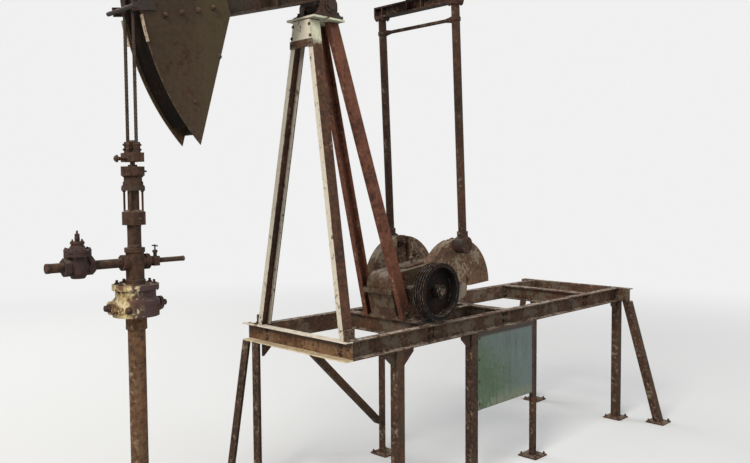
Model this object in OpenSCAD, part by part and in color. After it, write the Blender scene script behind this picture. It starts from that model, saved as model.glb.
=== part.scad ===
// Beam pumping unit on a steel leg stand, with its wellhead beside it.
// The well stands at the origin on ground level. +X runs from the well to the rear of the base.
// The rest position is the bottom of the stroke: head down, tail up, cranks pointing up.

/* [Linkage] */
// Horizontal distance from the well to the saddle axis, also the radius of the head
front_arm = 1626; // [1400:1:1900]
// Distance from the saddle axis to the tail axis
rear_arm = 1220; // [1100:1:1350]
// Height of the saddle axis over the ground
saddle_z = 4060; // [3900:1:4300]
// Tilt of the beam at the bottom of the stroke
rest_tilt = 16; // [12:0.5:18]
// Distance from the well to the crankshaft
crank_x = 2930; // [2880:1:3050]
// Height of the crankshaft over the ground
crank_z = 1730; // [1715:1:1800]
// Distance from the crankshaft to the wrist pin
crank_r = 390; // [340:1:400]
// Distance from the centre plane to each pitman
pitman_y = 440; // [436:1:446]

/* [Base frame] */
// Distance from the well to the front face of the base
base_front = 1350; // [1150:1:1400]
// Length of the base
base_l = 4260; // [3900:1:4800]
// Width over the two rails
base_w = 1160; // [1160:1:1400]
// Height of the top of the base over the ground
base_z = 1490; // [1300:1:1495]
// Depth of the rails and crossmembers
rail_h = 150; // [120:1:200]
// Flange width of the rails and crossmembers
rail_b = 75; // [60:1:75]
// Wall of the rails and crossmembers
rail_t = 9; // [6:0.5:12]
// How far the two end crossmembers stand out past the rails
outrigger = 130; // [110:1:220]
// Flange width of the inner crossmembers
cross_b = 100; // [80:1:100]
// Web thickness of the inner crossmembers
cross_web = 8; // [6:0.5:10]
// Flange thickness of the inner crossmembers
cross_flange = 11; // [8:0.5:14]
// Distance from the back of the base to its last inner crossmember
last_cross_in = 700; // [500:1:900]

/* [Stand] */
// Leg of the angle iron used for the upright and raked legs
leg_a = 80; // [60:1:95]
// Wall of that angle iron
leg_t = 9; // [6:0.5:12]
// Side of the square plate under each leg
foot_w = 200; // [160:1:240]
// Thickness of that plate
foot_t = 14; // [10:1:25]
// Distance from the front of the base to the near front leg
near_leg_in = 560; // [300:1:800]
// Distance from the front of the base to the middle pair of legs
middle_leg_in = 1520; // [1460:1:1600]
// How far the foot of a raked leg stands outside its top
rake_out = 300; // [150:1:450]
// How far the foot of a rear raked leg stands behind its top
rake_back = 160; // [0:1:250]
// Leg of the angle iron of the diagonal brace
brace_a = 60; // [50:1:75]
// Wall of the diagonal brace
brace_t = 7; // [5:0.5:9]
// Height of the lower end of the brace over the ground
brace_foot = 330; // [100:1:450]
// Distance from the front of the base to the upper end of the brace
brace_in = 480; // [300:1:700]

/* [Guard panel] */
// Length of the sheet panel under the near rail
panel_l = 885; // [700:1:1000]
// Height of the panel
panel_h = 700; // [500:1:800]
// Depth of its folded edges
panel_d = 40; // [25:1:60]
// Thickness of its sheet
panel_t = 4; // [2:0.5:6]
// Leg of the light angle that holds its rear edge
panel_post_a = 50; // [40:1:60]
// Wall of that light angle
panel_post_t = 6; // [4:0.5:8]

/* [Post] */
// Distance between the front and the rear feet of the post
post_depth = 970; // [900:1:990]
// Spread of the front feet from the centre plane
post_foot_y = 530; // [440:1:535]
// Spread of the rear feet from the centre plane
post_back_y = 250; // [250:1:280]
// Spread of the post legs at the top
post_top_y = 95; // [92:1:110]
// Depth of the channels of the post
post_h = 100; // [80:1:110]
// Flange width of those channels
post_b = 50; // [40:1:50]
// Wall of those channels
post_t = 8; // [6:0.5:10]
// Thickness of the cap plate on the post
cap_t = 16; // [10:1:25]
// How far the cap plate stands out past the axes of the post legs at each side
cap_over = 70; // [50:1:90]
// Height of the front tie under the top of the post
tie_drop = 235; // [180:1:300]
// Depth of the front tie
tie_h = 60; // [40:1:80]
// Thickness of the front tie
tie_t = 10; // [6:0.5:14]
// Thickness of the gusset plate over the tie
gusset_t = 8; // [5:0.5:12]

/* [Beam] */
// Depth of the walking beam
beam_h = 300; // [250:1:350]
// Flange width of the walking beam
beam_b = 165; // [140:1:168]
// Web thickness of the walking beam
beam_web = 10; // [7:0.5:14]
// Flange thickness of the walking beam
beam_flange = 14; // [10:0.5:20]
// Height of the underside of the beam over the saddle axis
beam_rise = 50; // [50:1:70]
// How far the beam runs past the tail axis
beam_over = 110; // [90:1:200]
// Thickness of the stiffener plates in the walking beam
stiffener_t = 12; // [8:0.5:16]
// Diameter of the saddle shaft
saddle_d = 80; // [60:1:85]
// Outer diameter of a saddle bearing
saddle_od = 140; // [120:1:150]
// Length of the foot of a saddle bearing
saddle_foot_l = 260; // [220:1:270]
// Thickness of that foot
saddle_foot_t = 28; // [16:1:40]
// Length of the saddle block where it meets the beam
saddle_block_l = 220; // [180:1:300]
// How far the saddle shaft stands out at each side of the beam
saddle_shaft_out = 83; // [70:1:95]
// Length of the tail bearing where it meets the beam
tail_block_l = 190; // [160:1:220]
// Width of the tail bearing across the beam
tail_block_w = 140; // [120:1:160]

/* [Head] */
// Distance between the outer faces of the two side plates
head_w = 244; // [220:1:300]
// Thickness of the side plates
head_t = 10; // [8:0.5:16]
// Angle of the lower tip of the head below the beam axis
tip_angle = 27.6; // [26:0.1:30]
// Angle of the upper corner of the head above the beam axis
top_angle = 24.5; // [22:0.1:27]
// Distance from the front of the head to where its top edge begins
top_front_in = 90; // [60:1:150]
// Distance from the end of the top edge to the rear edge of the head
top_back_in = 300; // [200:1:400]
// Distance from the saddle axis to where the rear edge meets the beam
head_back = 945; // [850:1:1000]
// Thickness of the curved face plate
face_t = 10; // [6:0.5:14]
// Angle from the tip up to where the face plate begins
face_start = 5; // [3:0.5:8]
// Diameter of the wire rope
rope_d = 24; // [18:1:28]
// Distance from the centre plane to each rope
rope_y = 57; // [52:1:70]
// Angle of the rope keeper above the beam axis, at the front of the head
keeper_angle = 6.9; // [3:0.1:9]
// How far the keeper stands out past the near side plate
keeper_near = 30; // [20:1:60]
// How far the keeper stands out past the far side plate
keeper_far = 90; // [60:1:180]
// Diameter of the keeper bar
keeper_d = 30; // [20:1:36]
// Thickness of the cross plates in the head
rib_t = 12; // [8:0.5:16]
// Distance from the tip of the head to the cross plate along its rear edge
tip_plate_in = 75; // [75:1:150]
// Length of that cross plate
tip_plate_l = 150; // [80:1:300]
// Distance from the rear corner of the head forward to the cross plates behind the face
rib_back = 160; // [120:1:220]
// Length of the two cross plates that clasp the beam
clasp_l = 640; // [500:1:680]

/* [Pitmans] */
// Outer diameter of a pitman tube
pitman_d = 73; // [60:1:80]
// Wall of a pitman tube
pitman_wall = 7; // [5:0.5:10]
// Depth of the equalizer bar
equalizer_h = 100; // [90:1:160]
// Width of the equalizer bar
equalizer_b = 100; // [80:1:120]
// Web thickness of the equalizer
equalizer_web = 10; // [7:0.5:14]
// Flange thickness of the equalizer
equalizer_flange = 14; // [9:0.5:18]
// Diameter of the tail pin
tail_d = 44; // [36:1:50]
// Length of the tail pin
tail_pin_l = 200; // [195:1:240]
// Outer diameter of the wrist bearings
wrist_d = 150; // [120:1:155]
// Diameter of the tie rod between the pitmans
tie_d = 32; // [24:1:40]
// Distance of the tie rod below the tail axis
tie_z = 315; // [280:1:400]

/* [Cranks] */
// Thickness of a crank
crank_t = 66; // [50:1:70]
// Width of a crank at its outer end
crank_w = 150; // [120:1:160]
// Diameter of the crank hub
hub_d = 230; // [190:1:250]
// How far the hub stands out towards the reducer
hub_boss = 26; // [10:1:40]
// Diameter of the crankshaft
shaft_d = 110; // [90:1:120]
// Outer radius of the fan shaped weights
weight_r = 440; // [400:1:440]
// Inner radius of the weights
weight_in = 150; // [140:1:200]
// Angle that each weight spans
weight_sweep = 66; // [40:1:72]
// Thickness of the weights
weight_t = 96; // [70:1:110]
// Gap between a crank and the wrist bearing beside it
crank_gap = 7; // [5:0.5:9]

/* [Gear reducer] */
// Width of the reducer housing
box_w = 300; // [260:1:305]
// Radius of the housing around the crankshaft
box_big_r = 225; // [200:1:230]
// Radius of the housing around the input shaft
box_small_r = 130; // [110:1:140]
// Distance between the crankshaft and the input shaft
shaft_gap = 510; // [500:1:520]
// How far the flange at the joint of the housing stands out
box_flange = 24; // [15:1:25]
// Thickness of that flange on each half of the housing
flange_t = 18; // [12:1:24]
// Thickness of the ribs between the flange and the foot
box_rib = 14; // [8:1:20]
// Diameter of the bearing caps around the crankshaft
shaft_cap_d = 210; // [180:1:230]
// How far those caps stand out past the flange
shaft_cap_out = 20; // [10:1:40]
// Diameter of the bearing caps around the input shaft
input_cap_d = 116; // [90:1:120]
// Length of the hatch on the cover
hatch_l = 260; // [200:1:320]
// Width of the hatch
hatch_w = 180; // [120:1:220]
// Thickness of the hatch
hatch_t = 14; // [8:1:20]
// Height of the input shaft over the crankshaft
input_rise = 35; // [0:1:60]
// Diameter of the input shaft
input_d = 50; // [40:1:54]
// Width of the outboard bearing of the input shaft
pedestal_w = 56; // [40:1:60]

/* [Sheave] */
// Outer diameter of the belt sheave
sheave_d = 480; // [420:1:500]
// Width of its rim
sheave_w = 105; // [80:1:120]
// Distance from the centre plane to the inner face of the rim
sheave_y = 500; // [498:1:520]
// Number of belt grooves
grooves = 4; // [2:1:5]
// Depth of a belt groove
groove_h = 15; // [10:0.5:18]
// Thickness of the sheave web
sheave_web = 30; // [20:1:40]
// Thickness of the rim inside the dish
rim_t = 34; // [26:1:45]

/* [Wellhead] */
// Outer diameter of the well casing
casing_d = 114.3; // [100:0.1:140]
// Wall of the well casing
casing_wall = 7; // [5:0.1:9]
// Height of the top of the casing
casing_z = 1800; // [1700:1:1850]
// Diameter of the casing head body
head_d = 300; // [260:1:340]
// Height of the casing head
head_z = 210; // [180:1:240]
// Diameter of the two side outlets of the casing head
side_outlet_d = 76; // [60:1:90]
// How far those outlets stand out past the body
side_outlet_l = 35; // [20:1:60]
// Diameter of the polished rod
rod_d = 32; // [28:1:38]
// Bore of the tubing fittings
tubing_bore = 62; // [55:1:66]
// Outer diameter of the run of the tee
tee_d = 118; // [105:1:130]
// Height of the tee
tee_z = 240; // [220:1:260]
// Diameter of the branches of the tee
branch_d = 90; // [80:1:100]
// Length over the two branches of the tee
branch_l = 190; // [170:1:240]
// Outer diameter of the riser pipe
riser_d = 89; // [80:1:95]
// Length of the riser pipe
riser_l = 150; // [120:1:200]
// Diameter of the body and of the gland of the stuffing box
box_d = 150; // [130:1:160]
// Height of the body of the stuffing box
box_body = 100; // [80:1:120]
// Diameter of the neck of the stuffing box
neck_d = 74; // [68:1:90]
// Length of that neck between body and gland
neck_l = 125; // [90:1:140]
// Outer diameter of the flow line nipple
flow_d = 60.3; // [48:0.1:66]
// Distance from the well to the middle of the gate valve
valve_x = 385; // [360:1:450]
// Length of the gate valve along the flow line
valve_l = 190; // [160:1:200]
// Diameter of the body of the gate valve
valve_d = 120; // [100:1:130]
// Height of the straight part of that body
valve_h = 150; // [140:1:160]
// Diameter of the bonnet flange of the gate valve
bonnet_d = 165; // [140:1:180]
// Diameter of the stem of the gate valve
stem_d = 30; // [20:1:34]
// Distance from the well to the end of the outlet nipple
outlet_x = 585; // [560:1:700]
// Outer diameter of the small nipple on the other side of the tee
gauge_d = 34; // [26:0.1:40]
// Length of that nipple
gauge_l = 270; // [200:1:320]
// Length of the small valve on that nipple
gauge_valve_l = 44; // [36:1:60]
// Distance over the corners of the hexagon bushing between that valve and the tee
bushing_d = 52; // [44:1:60]
// Length of that bushing
bushing_l = 30; // [20:1:40]

/* [Rod hanger] */
// Height of the carrier bar over the ground
carrier_z = 2812; // [2805:1:2880]
// Depth of the carrier bar
carrier_h = 60; // [50:1:70]
// Width of the carrier bar along X
carrier_b = 80; // [70:1:100]
// Length of the carrier bar across
carrier_l = 165; // [160:1:220]
// Height of the rod clamp
clamp_h = 70; // [60:1:90]
// How far the polished rod reaches down into the casing
rod_in = 190; // [100:1:400]

/* [Hidden] */
$fn = 96;
far = 20000;
// Running clearance between a shaft and its bore, on the radius
run = 0.08;
// Small joint gap between pieces that are set side by side
seat = 0.3;

tail_od = 130;
equalizer_drop = tail_od / 2 + 8;
tail_x = front_arm + rear_arm * cos(rest_tilt);
tail_z = saddle_z + rear_arm * sin(rest_tilt);
dead_l = norm([crank_x - tail_x, tail_z - crank_z]);
pitman_l = dead_l - crank_r;
pitman_lean = atan2(crank_x - tail_x, tail_z - crank_z);

rail_in = base_w / 2 - rail_b;
base_back = base_front + base_l;
leg_top = base_z - rail_h;
post_front_x = base_front + 30 + post_h / 2;
post_back_x = post_front_x + post_depth;
post_top_z = saddle_z - saddle_od / 2 - 30 - cap_t;
post_top_front = front_arm - 120;
post_top_back = front_arm + 75;
tie_level = post_top_z - tie_drop + cap_t;
panel_x = base_front + middle_leg_in + leg_a;
panel_z = leg_top - panel_h;
input_x = crank_x - shaft_gap;
input_z = crank_z + input_rise;
input_depth = 30;
cross_x = crank_x + weight_r + 80;
box_foot_x = post_back_x - cross_b / 2 - crank_x;
box_foot_t = 20;
box_over = box_w + 2 * box_flange;
crank_out = pitman_y - wrist_d / 2 * 0.66 - crank_gap;
bearing_half = pitman_y - crank_out - crank_gap;
tee_base = casing_z + head_z;
flow_z = tee_base + tee_z * 0.6;
riser_base = tee_base + tee_z;
box_base = riser_base + riser_l;
// The rod ends just over its clamp, so it clears the head at the top of the stroke
rod_top = carrier_z + carrier_h + clamp_h + 12;
rod_foot = casing_z - rod_in;
socket_h = 60;
// Radius of the front of the head, and the lower tip of the head in the frame of the beam
head_r = front_arm + rope_d / 4;
head_tip = [-head_r * cos(tip_angle), -head_r * sin(tip_angle)];

// Places a piece in the frame of the beam: origin on the saddle axis, X along the beam to the tail
module on_beam() {
  translate([front_arm, 0, saddle_z]) rotate([0, -rest_tilt, 0]) children();
}

// Places a piece in the frame of the pitmans: origin on the tail axis, Z up along the pitmans
module on_pitman() {
  translate([tail_x, 0, tail_z]) rotate([0, -pitman_lean, 0]) children();
}

// Places a piece in the frame of the cranks: origin on the crankshaft, Z towards the wrist pins
module on_crank() {
  translate([crank_x, 0, crank_z]) rotate([0, -pitman_lean, 0]) children();
}

// Draws a near piece and its mirror image on the far side
module both_sides() {
  children();
  mirror([0, 1, 0]) children();
}

// Lays an outline along X: its x becomes Y and its y becomes Z
module along_x(l) {
  rotate([90, 0, 90]) linear_extrude(l) children();
}

// Lays an outline along Y, centred: its x becomes X and its y becomes Z
module along_y(l) {
  translate([0, l / 2, 0]) rotate([90, 0, 0]) linear_extrude(l) children();
}

// A round bar or ring along Y, centred
module y_bar(d, l, bore = 0) {
  along_y(l) difference() {
    circle(d = d);
    if (bore > 0) circle(d = bore);
  }
}

// Channel outline: web at x = 0, flanges towards +x, standing on y = 0
module channel_outline(h, b, t) {
  square([t, h]);
  square([b, t]);
  translate([0, h - t]) square([b, t]);
}

// I outline standing on y = 0, centred on x = 0
module beam_outline(h, b, web, flange) {
  translate([-b / 2, 0]) square([b, flange]);
  translate([-b / 2, h - flange]) square([b, flange]);
  translate([-web / 2, 0]) square([web, h]);
}

// Angle iron outline with its corner at the origin
module angle_outline(a, t) {
  square([a, t]);
  square([t, a]);
}

// A bar from p to q with the given outline, cut level at both ends
module level_strut(p, q) {
  d = q - p;
  l = norm(d);
  intersection() {
    translate(p)
      rotate([-asin(d.y / l), atan2(d.x, d.z), 0])
        translate([0, 0, -l / 4])
          linear_extrude(l * 1.5)
            children();
    translate([-far / 2, -far / 2, min(p.z, q.z)])
      cube([far, far, abs(d.z)]);
  }
}

// Channel with its toes outwards; only its far end stands out past the rail
module front_crossmember() {
  color("#8a5a35")
    translate([base_front + rail_b, outrigger / 2, base_z - rail_h])
      mirror([1, 0, 0])
        along_y(base_w + outrigger) channel_outline(rail_h, rail_b, rail_t);
}

// Channel with its toes outwards; both its ends stand out past the rails
module rear_crossmember() {
  color("#3a2c22")
    translate([base_back - rail_b, 0, base_z - rail_h])
      along_y(base_w + 2 * outrigger) channel_outline(rail_h, rail_b, rail_t);
}

module side_rails() {
  color("#3f3026")
    both_sides()
      translate([base_front + rail_b, -rail_in, base_z - rail_h])
        along_x(base_l - 2 * rail_b)
          mirror([1, 0]) channel_outline(rail_h, rail_b, rail_t);
}

// The three crossmembers between the rails: under the post, behind the reducer and at the rear
module inner_crossmembers() {
  color("#4a3527")
    for (x = [post_back_x, cross_x, base_back - last_cross_in])
      translate([x, 0, base_z - rail_h])
        along_y(2 * rail_in) beam_outline(rail_h, cross_b, cross_web, cross_flange);
}

// Two channels that carry the reducer between the crossmembers
module gearbox_bearers() {
  start = post_back_x + cross_b / 2;
  bearer_b = 60;
  color("#4a3527")
    both_sides()
      translate([start, bearer_b + 10 - box_w / 2, base_z - rail_h])
        along_x(cross_x - cross_b / 2 - start)
          mirror([1, 0]) channel_outline(rail_h, bearer_b, rail_t);
}

// An upright leg of angle iron with its corner at the outer front
module upright_leg(x) {
  translate([x, -base_w / 2, foot_t])
    linear_extrude(leg_top - foot_t) angle_outline(leg_a, leg_t);
}

// The far front leg stands at the corner, the near one further back
module front_legs() {
  color("#3b2a20") {
    upright_leg(base_front + near_leg_in);
    mirror([0, 1, 0]) upright_leg(base_front);
  }
}

module middle_legs() {
  color("#3b2a20")
    both_sides() upright_leg(base_front + middle_leg_in);
}

module rear_legs() {
  color("#3b2a20")
    both_sides() upright_leg(base_back - leg_a);
}

// A raked leg under the end of a crossmember that stands out past the rail
module raked_leg(x, back) {
  y = -base_w / 2 - outrigger;
  level_strut([x + back, y - rake_out, foot_t], [x, y, leg_top]) angle_outline(leg_a, leg_t);
}

module raked_legs() {
  color("#33241b") {
    mirror([0, 1, 0]) raked_leg(base_front, 0);
    both_sides() raked_leg(base_back - leg_a, rake_back);
  }
}

// A square plate on the ground, centred on x and y
module foot_plate(x, y) {
  translate([x - foot_w / 2, y - foot_w / 2, 0])
    cube([foot_w, foot_w, foot_t]);
}

// The plates under all the legs
module foot_plates() {
  half = leg_a / 2;
  y = base_w / 2 - half;
  raked_y = base_w / 2 + outrigger + rake_out - half;
  color("#33241b") {
    foot_plate(base_front + near_leg_in + half, -y);
    foot_plate(base_front + half, y);
    foot_plate(base_front + half, raked_y);
    both_sides() {
      foot_plate(base_front + middle_leg_in + half, -y);
      foot_plate(base_back - half, -y);
      foot_plate(base_back - half + rake_back, -raked_y);
    }
    foot_plate(panel_x + panel_l + panel_post_a / 2, (panel_post_a - base_w) / 2);
  }
}

// Diagonal brace in the far side of the stand, from the rail down to the middle leg
module far_brace() {
  y = base_w / 2 - leg_a;
  color("#1f1915")
    level_strut(
      [base_front + middle_leg_in - seat, y, brace_foot],
      [base_front + brace_in, y, leg_top]
    ) translate([-brace_a, 0]) angle_outline(brace_a, brace_t);
}

// Light angle behind the guard panel, from the rail down to the ground
module panel_post() {
  color("#3b2a20")
    translate([panel_x + panel_l, -base_w / 2, foot_t])
      linear_extrude(leg_top - foot_t) angle_outline(panel_post_a, panel_post_t);
}

// Sheet panel folded into a shallow pan, closed side outwards
module guard_panel() {
  color("#5f7f7a")
    translate([panel_x, -base_w / 2, panel_z])
      difference() {
        cube([panel_l, panel_d, panel_h]);
        translate([panel_t, panel_t, panel_t])
          cube([panel_l - 2 * panel_t, panel_d, panel_h - 2 * panel_t]);
      }
}

// The front legs of the post lean together from the full width of the base to the cap
module post_front_legs() {
  color("#b9a58c")
    both_sides()
      level_strut(
        [post_front_x, -post_foot_y, base_z],
        [post_top_front, -post_top_y, post_top_z]
      ) translate([-post_h / 2, 0]) rotate(-90) mirror([1, 0]) channel_outline(post_h, post_b, post_t);
}

// The rear legs of the post are narrower and lean forwards
module post_rear_legs() {
  color("#6b3f2c")
    both_sides()
      level_strut(
        [post_back_x, -post_back_y, base_z],
        [post_top_back, -post_top_y, post_top_z]
      ) translate([-post_h / 2, 0]) rotate(-90) mirror([1, 0]) channel_outline(post_h, post_b, post_t);
}

// Where the outer face of a front leg stands at height z
function front_leg_y(z) = post_foot_y - (post_foot_y - post_top_y) * (z - base_z) / (post_top_z - base_z);
function front_leg_x(z) = post_front_x + (post_top_front - post_front_x) * (z - base_z) / (post_top_z - base_z);

// Lays an outline on the front of the front legs: its y runs up the slope from height z
module on_leg_front(z, t) {
  slope = atan2(post_top_front - post_front_x, post_top_z - base_z);
  translate([front_leg_x(z), 0, z])
    rotate([0, slope, 0])
      translate([-post_h / 2 - seat - t, 0, 0])
        along_x(t) children();
}

// Level tie across the two front legs near the top
module post_tie() {
  y = front_leg_y(tie_level);
  color("#241a14")
    on_leg_front(tie_level, tie_t)
      translate([-y, 0]) square([2 * y, tie_h]);
}

// Cap plate, with a gusset plate that closes the front legs under it
module post_cap() {
  z = tie_level + tie_h + 1;
  y = front_leg_y(z);
  color("#c9b48e") {
    translate([post_top_front - post_h / 2 - 20, -post_top_y - cap_over, post_top_z])
      cube([post_top_back - post_top_front + post_h + 30, 2 * (post_top_y + cap_over), cap_t]);
    on_leg_front(z, gusset_t)
      polygon([[-y, 0], [y, 0], [post_top_y, post_top_z - z + cap_t / 2], [-post_top_y, post_top_z - z + cap_t / 2]]);
  }
}

// Two pillow blocks that straddle the beam on the cap
module saddle_bearings() {
  base = saddle_z - post_top_z - cap_t;
  color("#1d1815")
    both_sides()
      translate([front_arm, -beam_b / 2 - 8 - 30, saddle_z])
        along_y(60) difference() {
          union() {
            circle(d = saddle_od);
            translate([-saddle_od / 2, -base]) square([saddle_od, base]);
            translate([-saddle_foot_l / 2, -base]) square([saddle_foot_l, saddle_foot_t]);
          }
          circle(r = saddle_d / 2 + run);
        }
}

// Outline of the reducer seen from the side, with the origin on the crankshaft
module gearbox_outline() {
  floor_z = base_z - crank_z + box_foot_t;
  circle(r = box_big_r);
  translate([-shaft_gap, input_rise]) circle(r = box_small_r);
  polygon([
    [0, box_big_r], [-shaft_gap, input_rise + box_small_r], [-shaft_gap - box_small_r, input_rise],
    [box_foot_x, floor_z], [box_big_r, floor_z], [box_big_r, 0]
  ]);
}

// Keeps what lies above the joint of the housing (side = 1) or below it (side = -1)
module joint_half(side) {
  intersection() {
    children();
    translate([-far / 2, side > 0 ? 0 : -far]) square([far, far]);
  }
}

// One half of the housing: body, flange at the joint and bearing caps, bored for the crankshaft
module gearbox_half(side) {
  difference() {
    union() {
      along_y(box_w) joint_half(side) gearbox_outline();
      along_y(box_over) joint_half(side) {
        translate([-shaft_gap - box_small_r - box_flange, -flange_t])
          square([shaft_gap + box_small_r + box_big_r + 2 * box_flange, 2 * flange_t]);
        translate([-shaft_gap, input_rise]) circle(d = input_cap_d);
      }
      along_y(box_over + 2 * shaft_cap_out) joint_half(side) circle(d = shaft_cap_d);
    }
    y_bar(shaft_d + 2 * run, 2 * box_w);
  }
}

// Lower half of the reducer, ribbed down to its foot plate
module gearbox_case() {
  foot_z = base_z - crank_z;
  color("#4f4630")
    translate([crank_x, 0, crank_z]) {
      gearbox_half(-1);
      translate([box_foot_x, -box_over / 2, foot_z])
        cube([box_big_r + box_flange - box_foot_x, box_over, box_foot_t]);
      for (x = [-shaft_gap + 80, -box_big_r, box_big_r - 40])
        translate([x - box_rib / 2, -box_over / 2 + 4, foot_z])
          cube([box_rib, box_over - 8, -foot_z - 1]);
    }
}

// Upper half of the reducer, with the hatch on its sloping top and the input bearing on the near side
module gearbox_cover() {
  front_top = input_rise + box_small_r;
  color("#575035")
    translate([crank_x, 0, crank_z])
      difference() {
        union() {
          gearbox_half(1);
          translate([-shaft_gap / 2, 0, (box_big_r + front_top) / 2])
            rotate([0, -atan2(box_big_r - front_top, shaft_gap), 0])
              translate([-hatch_l / 2, -hatch_w / 2, -hatch_t])
                cube([hatch_l, hatch_w, 2 * hatch_t]);
        }
        translate([-shaft_gap, -box_over / 2, input_rise])
          y_bar(input_d + 2 * run, 2 * input_depth + 4);
      }
}

// Outboard bearing of the input shaft, standing on the post crossmember
module sheave_pedestal() {
  w = input_d + 22;
  color("#2a211b")
    translate([input_x, pedestal_w + 4 - sheave_y, input_z])
      along_y(pedestal_w) difference() {
        union() {
          circle(d = w);
          translate([-w / 2, base_z - input_z]) square([w, input_z - base_z]);
        }
        circle(r = input_d / 2 + run);
      }
}

module sheave_shaft() {
  end = -sheave_y - sheave_w - 15;
  l = -box_over / 2 + input_depth - end;
  color("#3a332c")
    translate([input_x, end + l / 2, input_z])
      y_bar(input_d, l);
}

// Belt sheave: grooved rim, thin web and hub, dished on the outer side
module belt_sheave() {
  r = sheave_d / 2;
  pitch = sheave_w / grooves;
  color("#1b1719")
    translate([input_x, -sheave_y, input_z])
      rotate([90, 0, 0])
        difference() {
          union() {
            difference() {
              cylinder(r = r, h = sheave_w);
              translate([0, 0, sheave_web]) cylinder(r = r - rim_t, h = sheave_w);
            }
            cylinder(r = input_d / 2 + 32, h = sheave_w);
          }
          translate([0, 0, -1]) cylinder(r = input_d / 2 + seat, h = sheave_w + 2);
          for (i = [0:grooves - 1])
            translate([0, 0, (i + 0.5) * pitch])
              rotate_extrude()
                polygon([[r + 1, -8.5], [r + 1, 8.5], [r - groove_h, 5], [r - groove_h, -5]]);
        }
}

// I beam with stiffener plates over the saddle, over the tail bearing and behind the head
module walking_beam() {
  start = -front_arm + rope_d + face_t + 60;
  color("#43362a")
    on_beam() {
      translate([start, 0, beam_rise])
        along_x(rear_arm + beam_over - start)
          beam_outline(beam_h, beam_b, beam_web, beam_flange);
      for (x = [-head_back / 2, -stiffener_t / 2, rear_arm - stiffener_t / 2])
        translate([x, 5 - beam_b / 2, beam_rise + 1])
          cube([stiffener_t, beam_b - 10, beam_h - 2]);
    }
}

// Outline of a bearing block hung under the beam: round below, with a foot against the beam
module hung_block(od, foot) {
  intersection() {
    union() {
      circle(d = od);
      translate([-od / 2, 0]) square([od, beam_rise]);
      translate([-foot / 2, beam_rise - 24]) square([foot, 24]);
    }
    translate([-far / 2, beam_rise - far]) square([far, far]);
  }
}

// Saddle: block under the beam with the shaft through it
module beam_saddle() {
  color("#2b221c")
    on_beam() {
      along_y(beam_b - 8) hung_block(saddle_d + 50, saddle_block_l);
      y_bar(saddle_d, beam_b + 2 * saddle_shaft_out);
    }
}

// Outline of a side plate of the head in the frame of the beam
module head_outline() {
  big = front_arm * 2;
  lift = 20;
  top = [-head_r * cos(top_angle), head_r * sin(top_angle)];
  intersection() {
    circle(r = head_r, $fn = 360);
    polygon([
      head_tip, [-head_back, beam_rise], [-head_back, beam_rise + beam_h + lift],
      [-head_back - top_back_in, top.y + lift], [top.x + top_front_in, top.y + lift], top,
      [-big, top.y], [-big, head_tip.y]
    ]);
  }
}

module horsehead_plates() {
  color("#453a28")
    on_beam()
      both_sides()
        translate([0, -head_w / 2 + head_t / 2, 0])
          along_y(head_t) head_outline();
}

// Wedge from angle a below the beam axis to angle b above it
module head_wedge(a, b) {
  big = front_arm * 2;
  polygon([
    [0, 0], [-big * cos(a), -big * sin(a)], [-big * 1.5, 0], [-big * cos(b), big * sin(b)]
  ]);
}

// Curved face plate between the side plates, under the ropes
module horsehead_face() {
  r = front_arm - rope_d / 2 - seat;
  color("#14100d")
    on_beam()
      along_y(head_w - 2 * head_t) intersection() {
        difference() {
          circle(r = r, $fn = 360);
          circle(r = r - face_t, $fn = 360);
        }
        head_wedge(tip_angle - face_start, top_angle - 1);
      }
}

// Cross plates between the side plates: two clasp the beam, two stiffen the lower part and one
// closes the rear edge near the tip
module horsehead_ribs() {
  r = front_arm - rope_d / 2 - 2 * seat - face_t;
  edge = [-head_back, beam_rise] - head_tip;
  color("#30271c")
    on_beam()
      along_y(head_w - 2 * head_t) intersection() {
        head_outline();
        circle(r = r, $fn = 360);
        union() {
          translate([-front_arm, beam_rise - rib_t]) square([clasp_l, rib_t]);
          translate([-front_arm, beam_rise + beam_h]) square([clasp_l, rib_t]);
          for (a = [8, 18])
            rotate(a) translate([-r, 0]) square([r - head_back - rib_back, rib_t]);
          translate(head_tip) rotate(atan2(edge.y, edge.x))
            translate([tip_plate_in, 1]) square([tip_plate_l, rib_t]);
        }
      }
}

// Bar across the front of the head that keeps the ropes in, on two brackets
module cable_keeper() {
  reach = front_arm / cos(rest_tilt - keeper_angle) + rope_d / 2 + 24;
  color("#1c1613")
    on_beam()
      rotate([0, keeper_angle, 0]) {
        translate([-reach, (keeper_far - keeper_near) / 2, 0])
          y_bar(keeper_d, head_w + keeper_near + keeper_far);
        both_sides()
          translate([-reach - 10, -head_w / 2 - 12, -keeper_d])
            cube([reach - front_arm + 110, 12, 2 * keeper_d]);
      }
}

// The part of the two ropes that lies on the head at rest
module wrapped_cables() {
  color("#2c2723")
    on_beam()
      both_sides()
        translate([0, -rope_y, 0])
          rotate([90, 0, 0])
            intersection() {
              rotate_extrude($fn = 360) translate([front_arm, 0]) circle(d = rope_d, $fn = 24);
              translate([0, 0, -rope_d]) linear_extrude(2 * rope_d) head_wedge(-rest_tilt, top_angle - 2);
            }
}

// Bearing under the tail of the beam
module tail_bearing() {
  color("#2b221c")
    on_beam()
      translate([rear_arm, 0, 0])
        along_y(tail_block_w) difference() {
          hung_block(tail_od, tail_block_l);
          circle(r = tail_d / 2 + run);
        }
}

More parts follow.
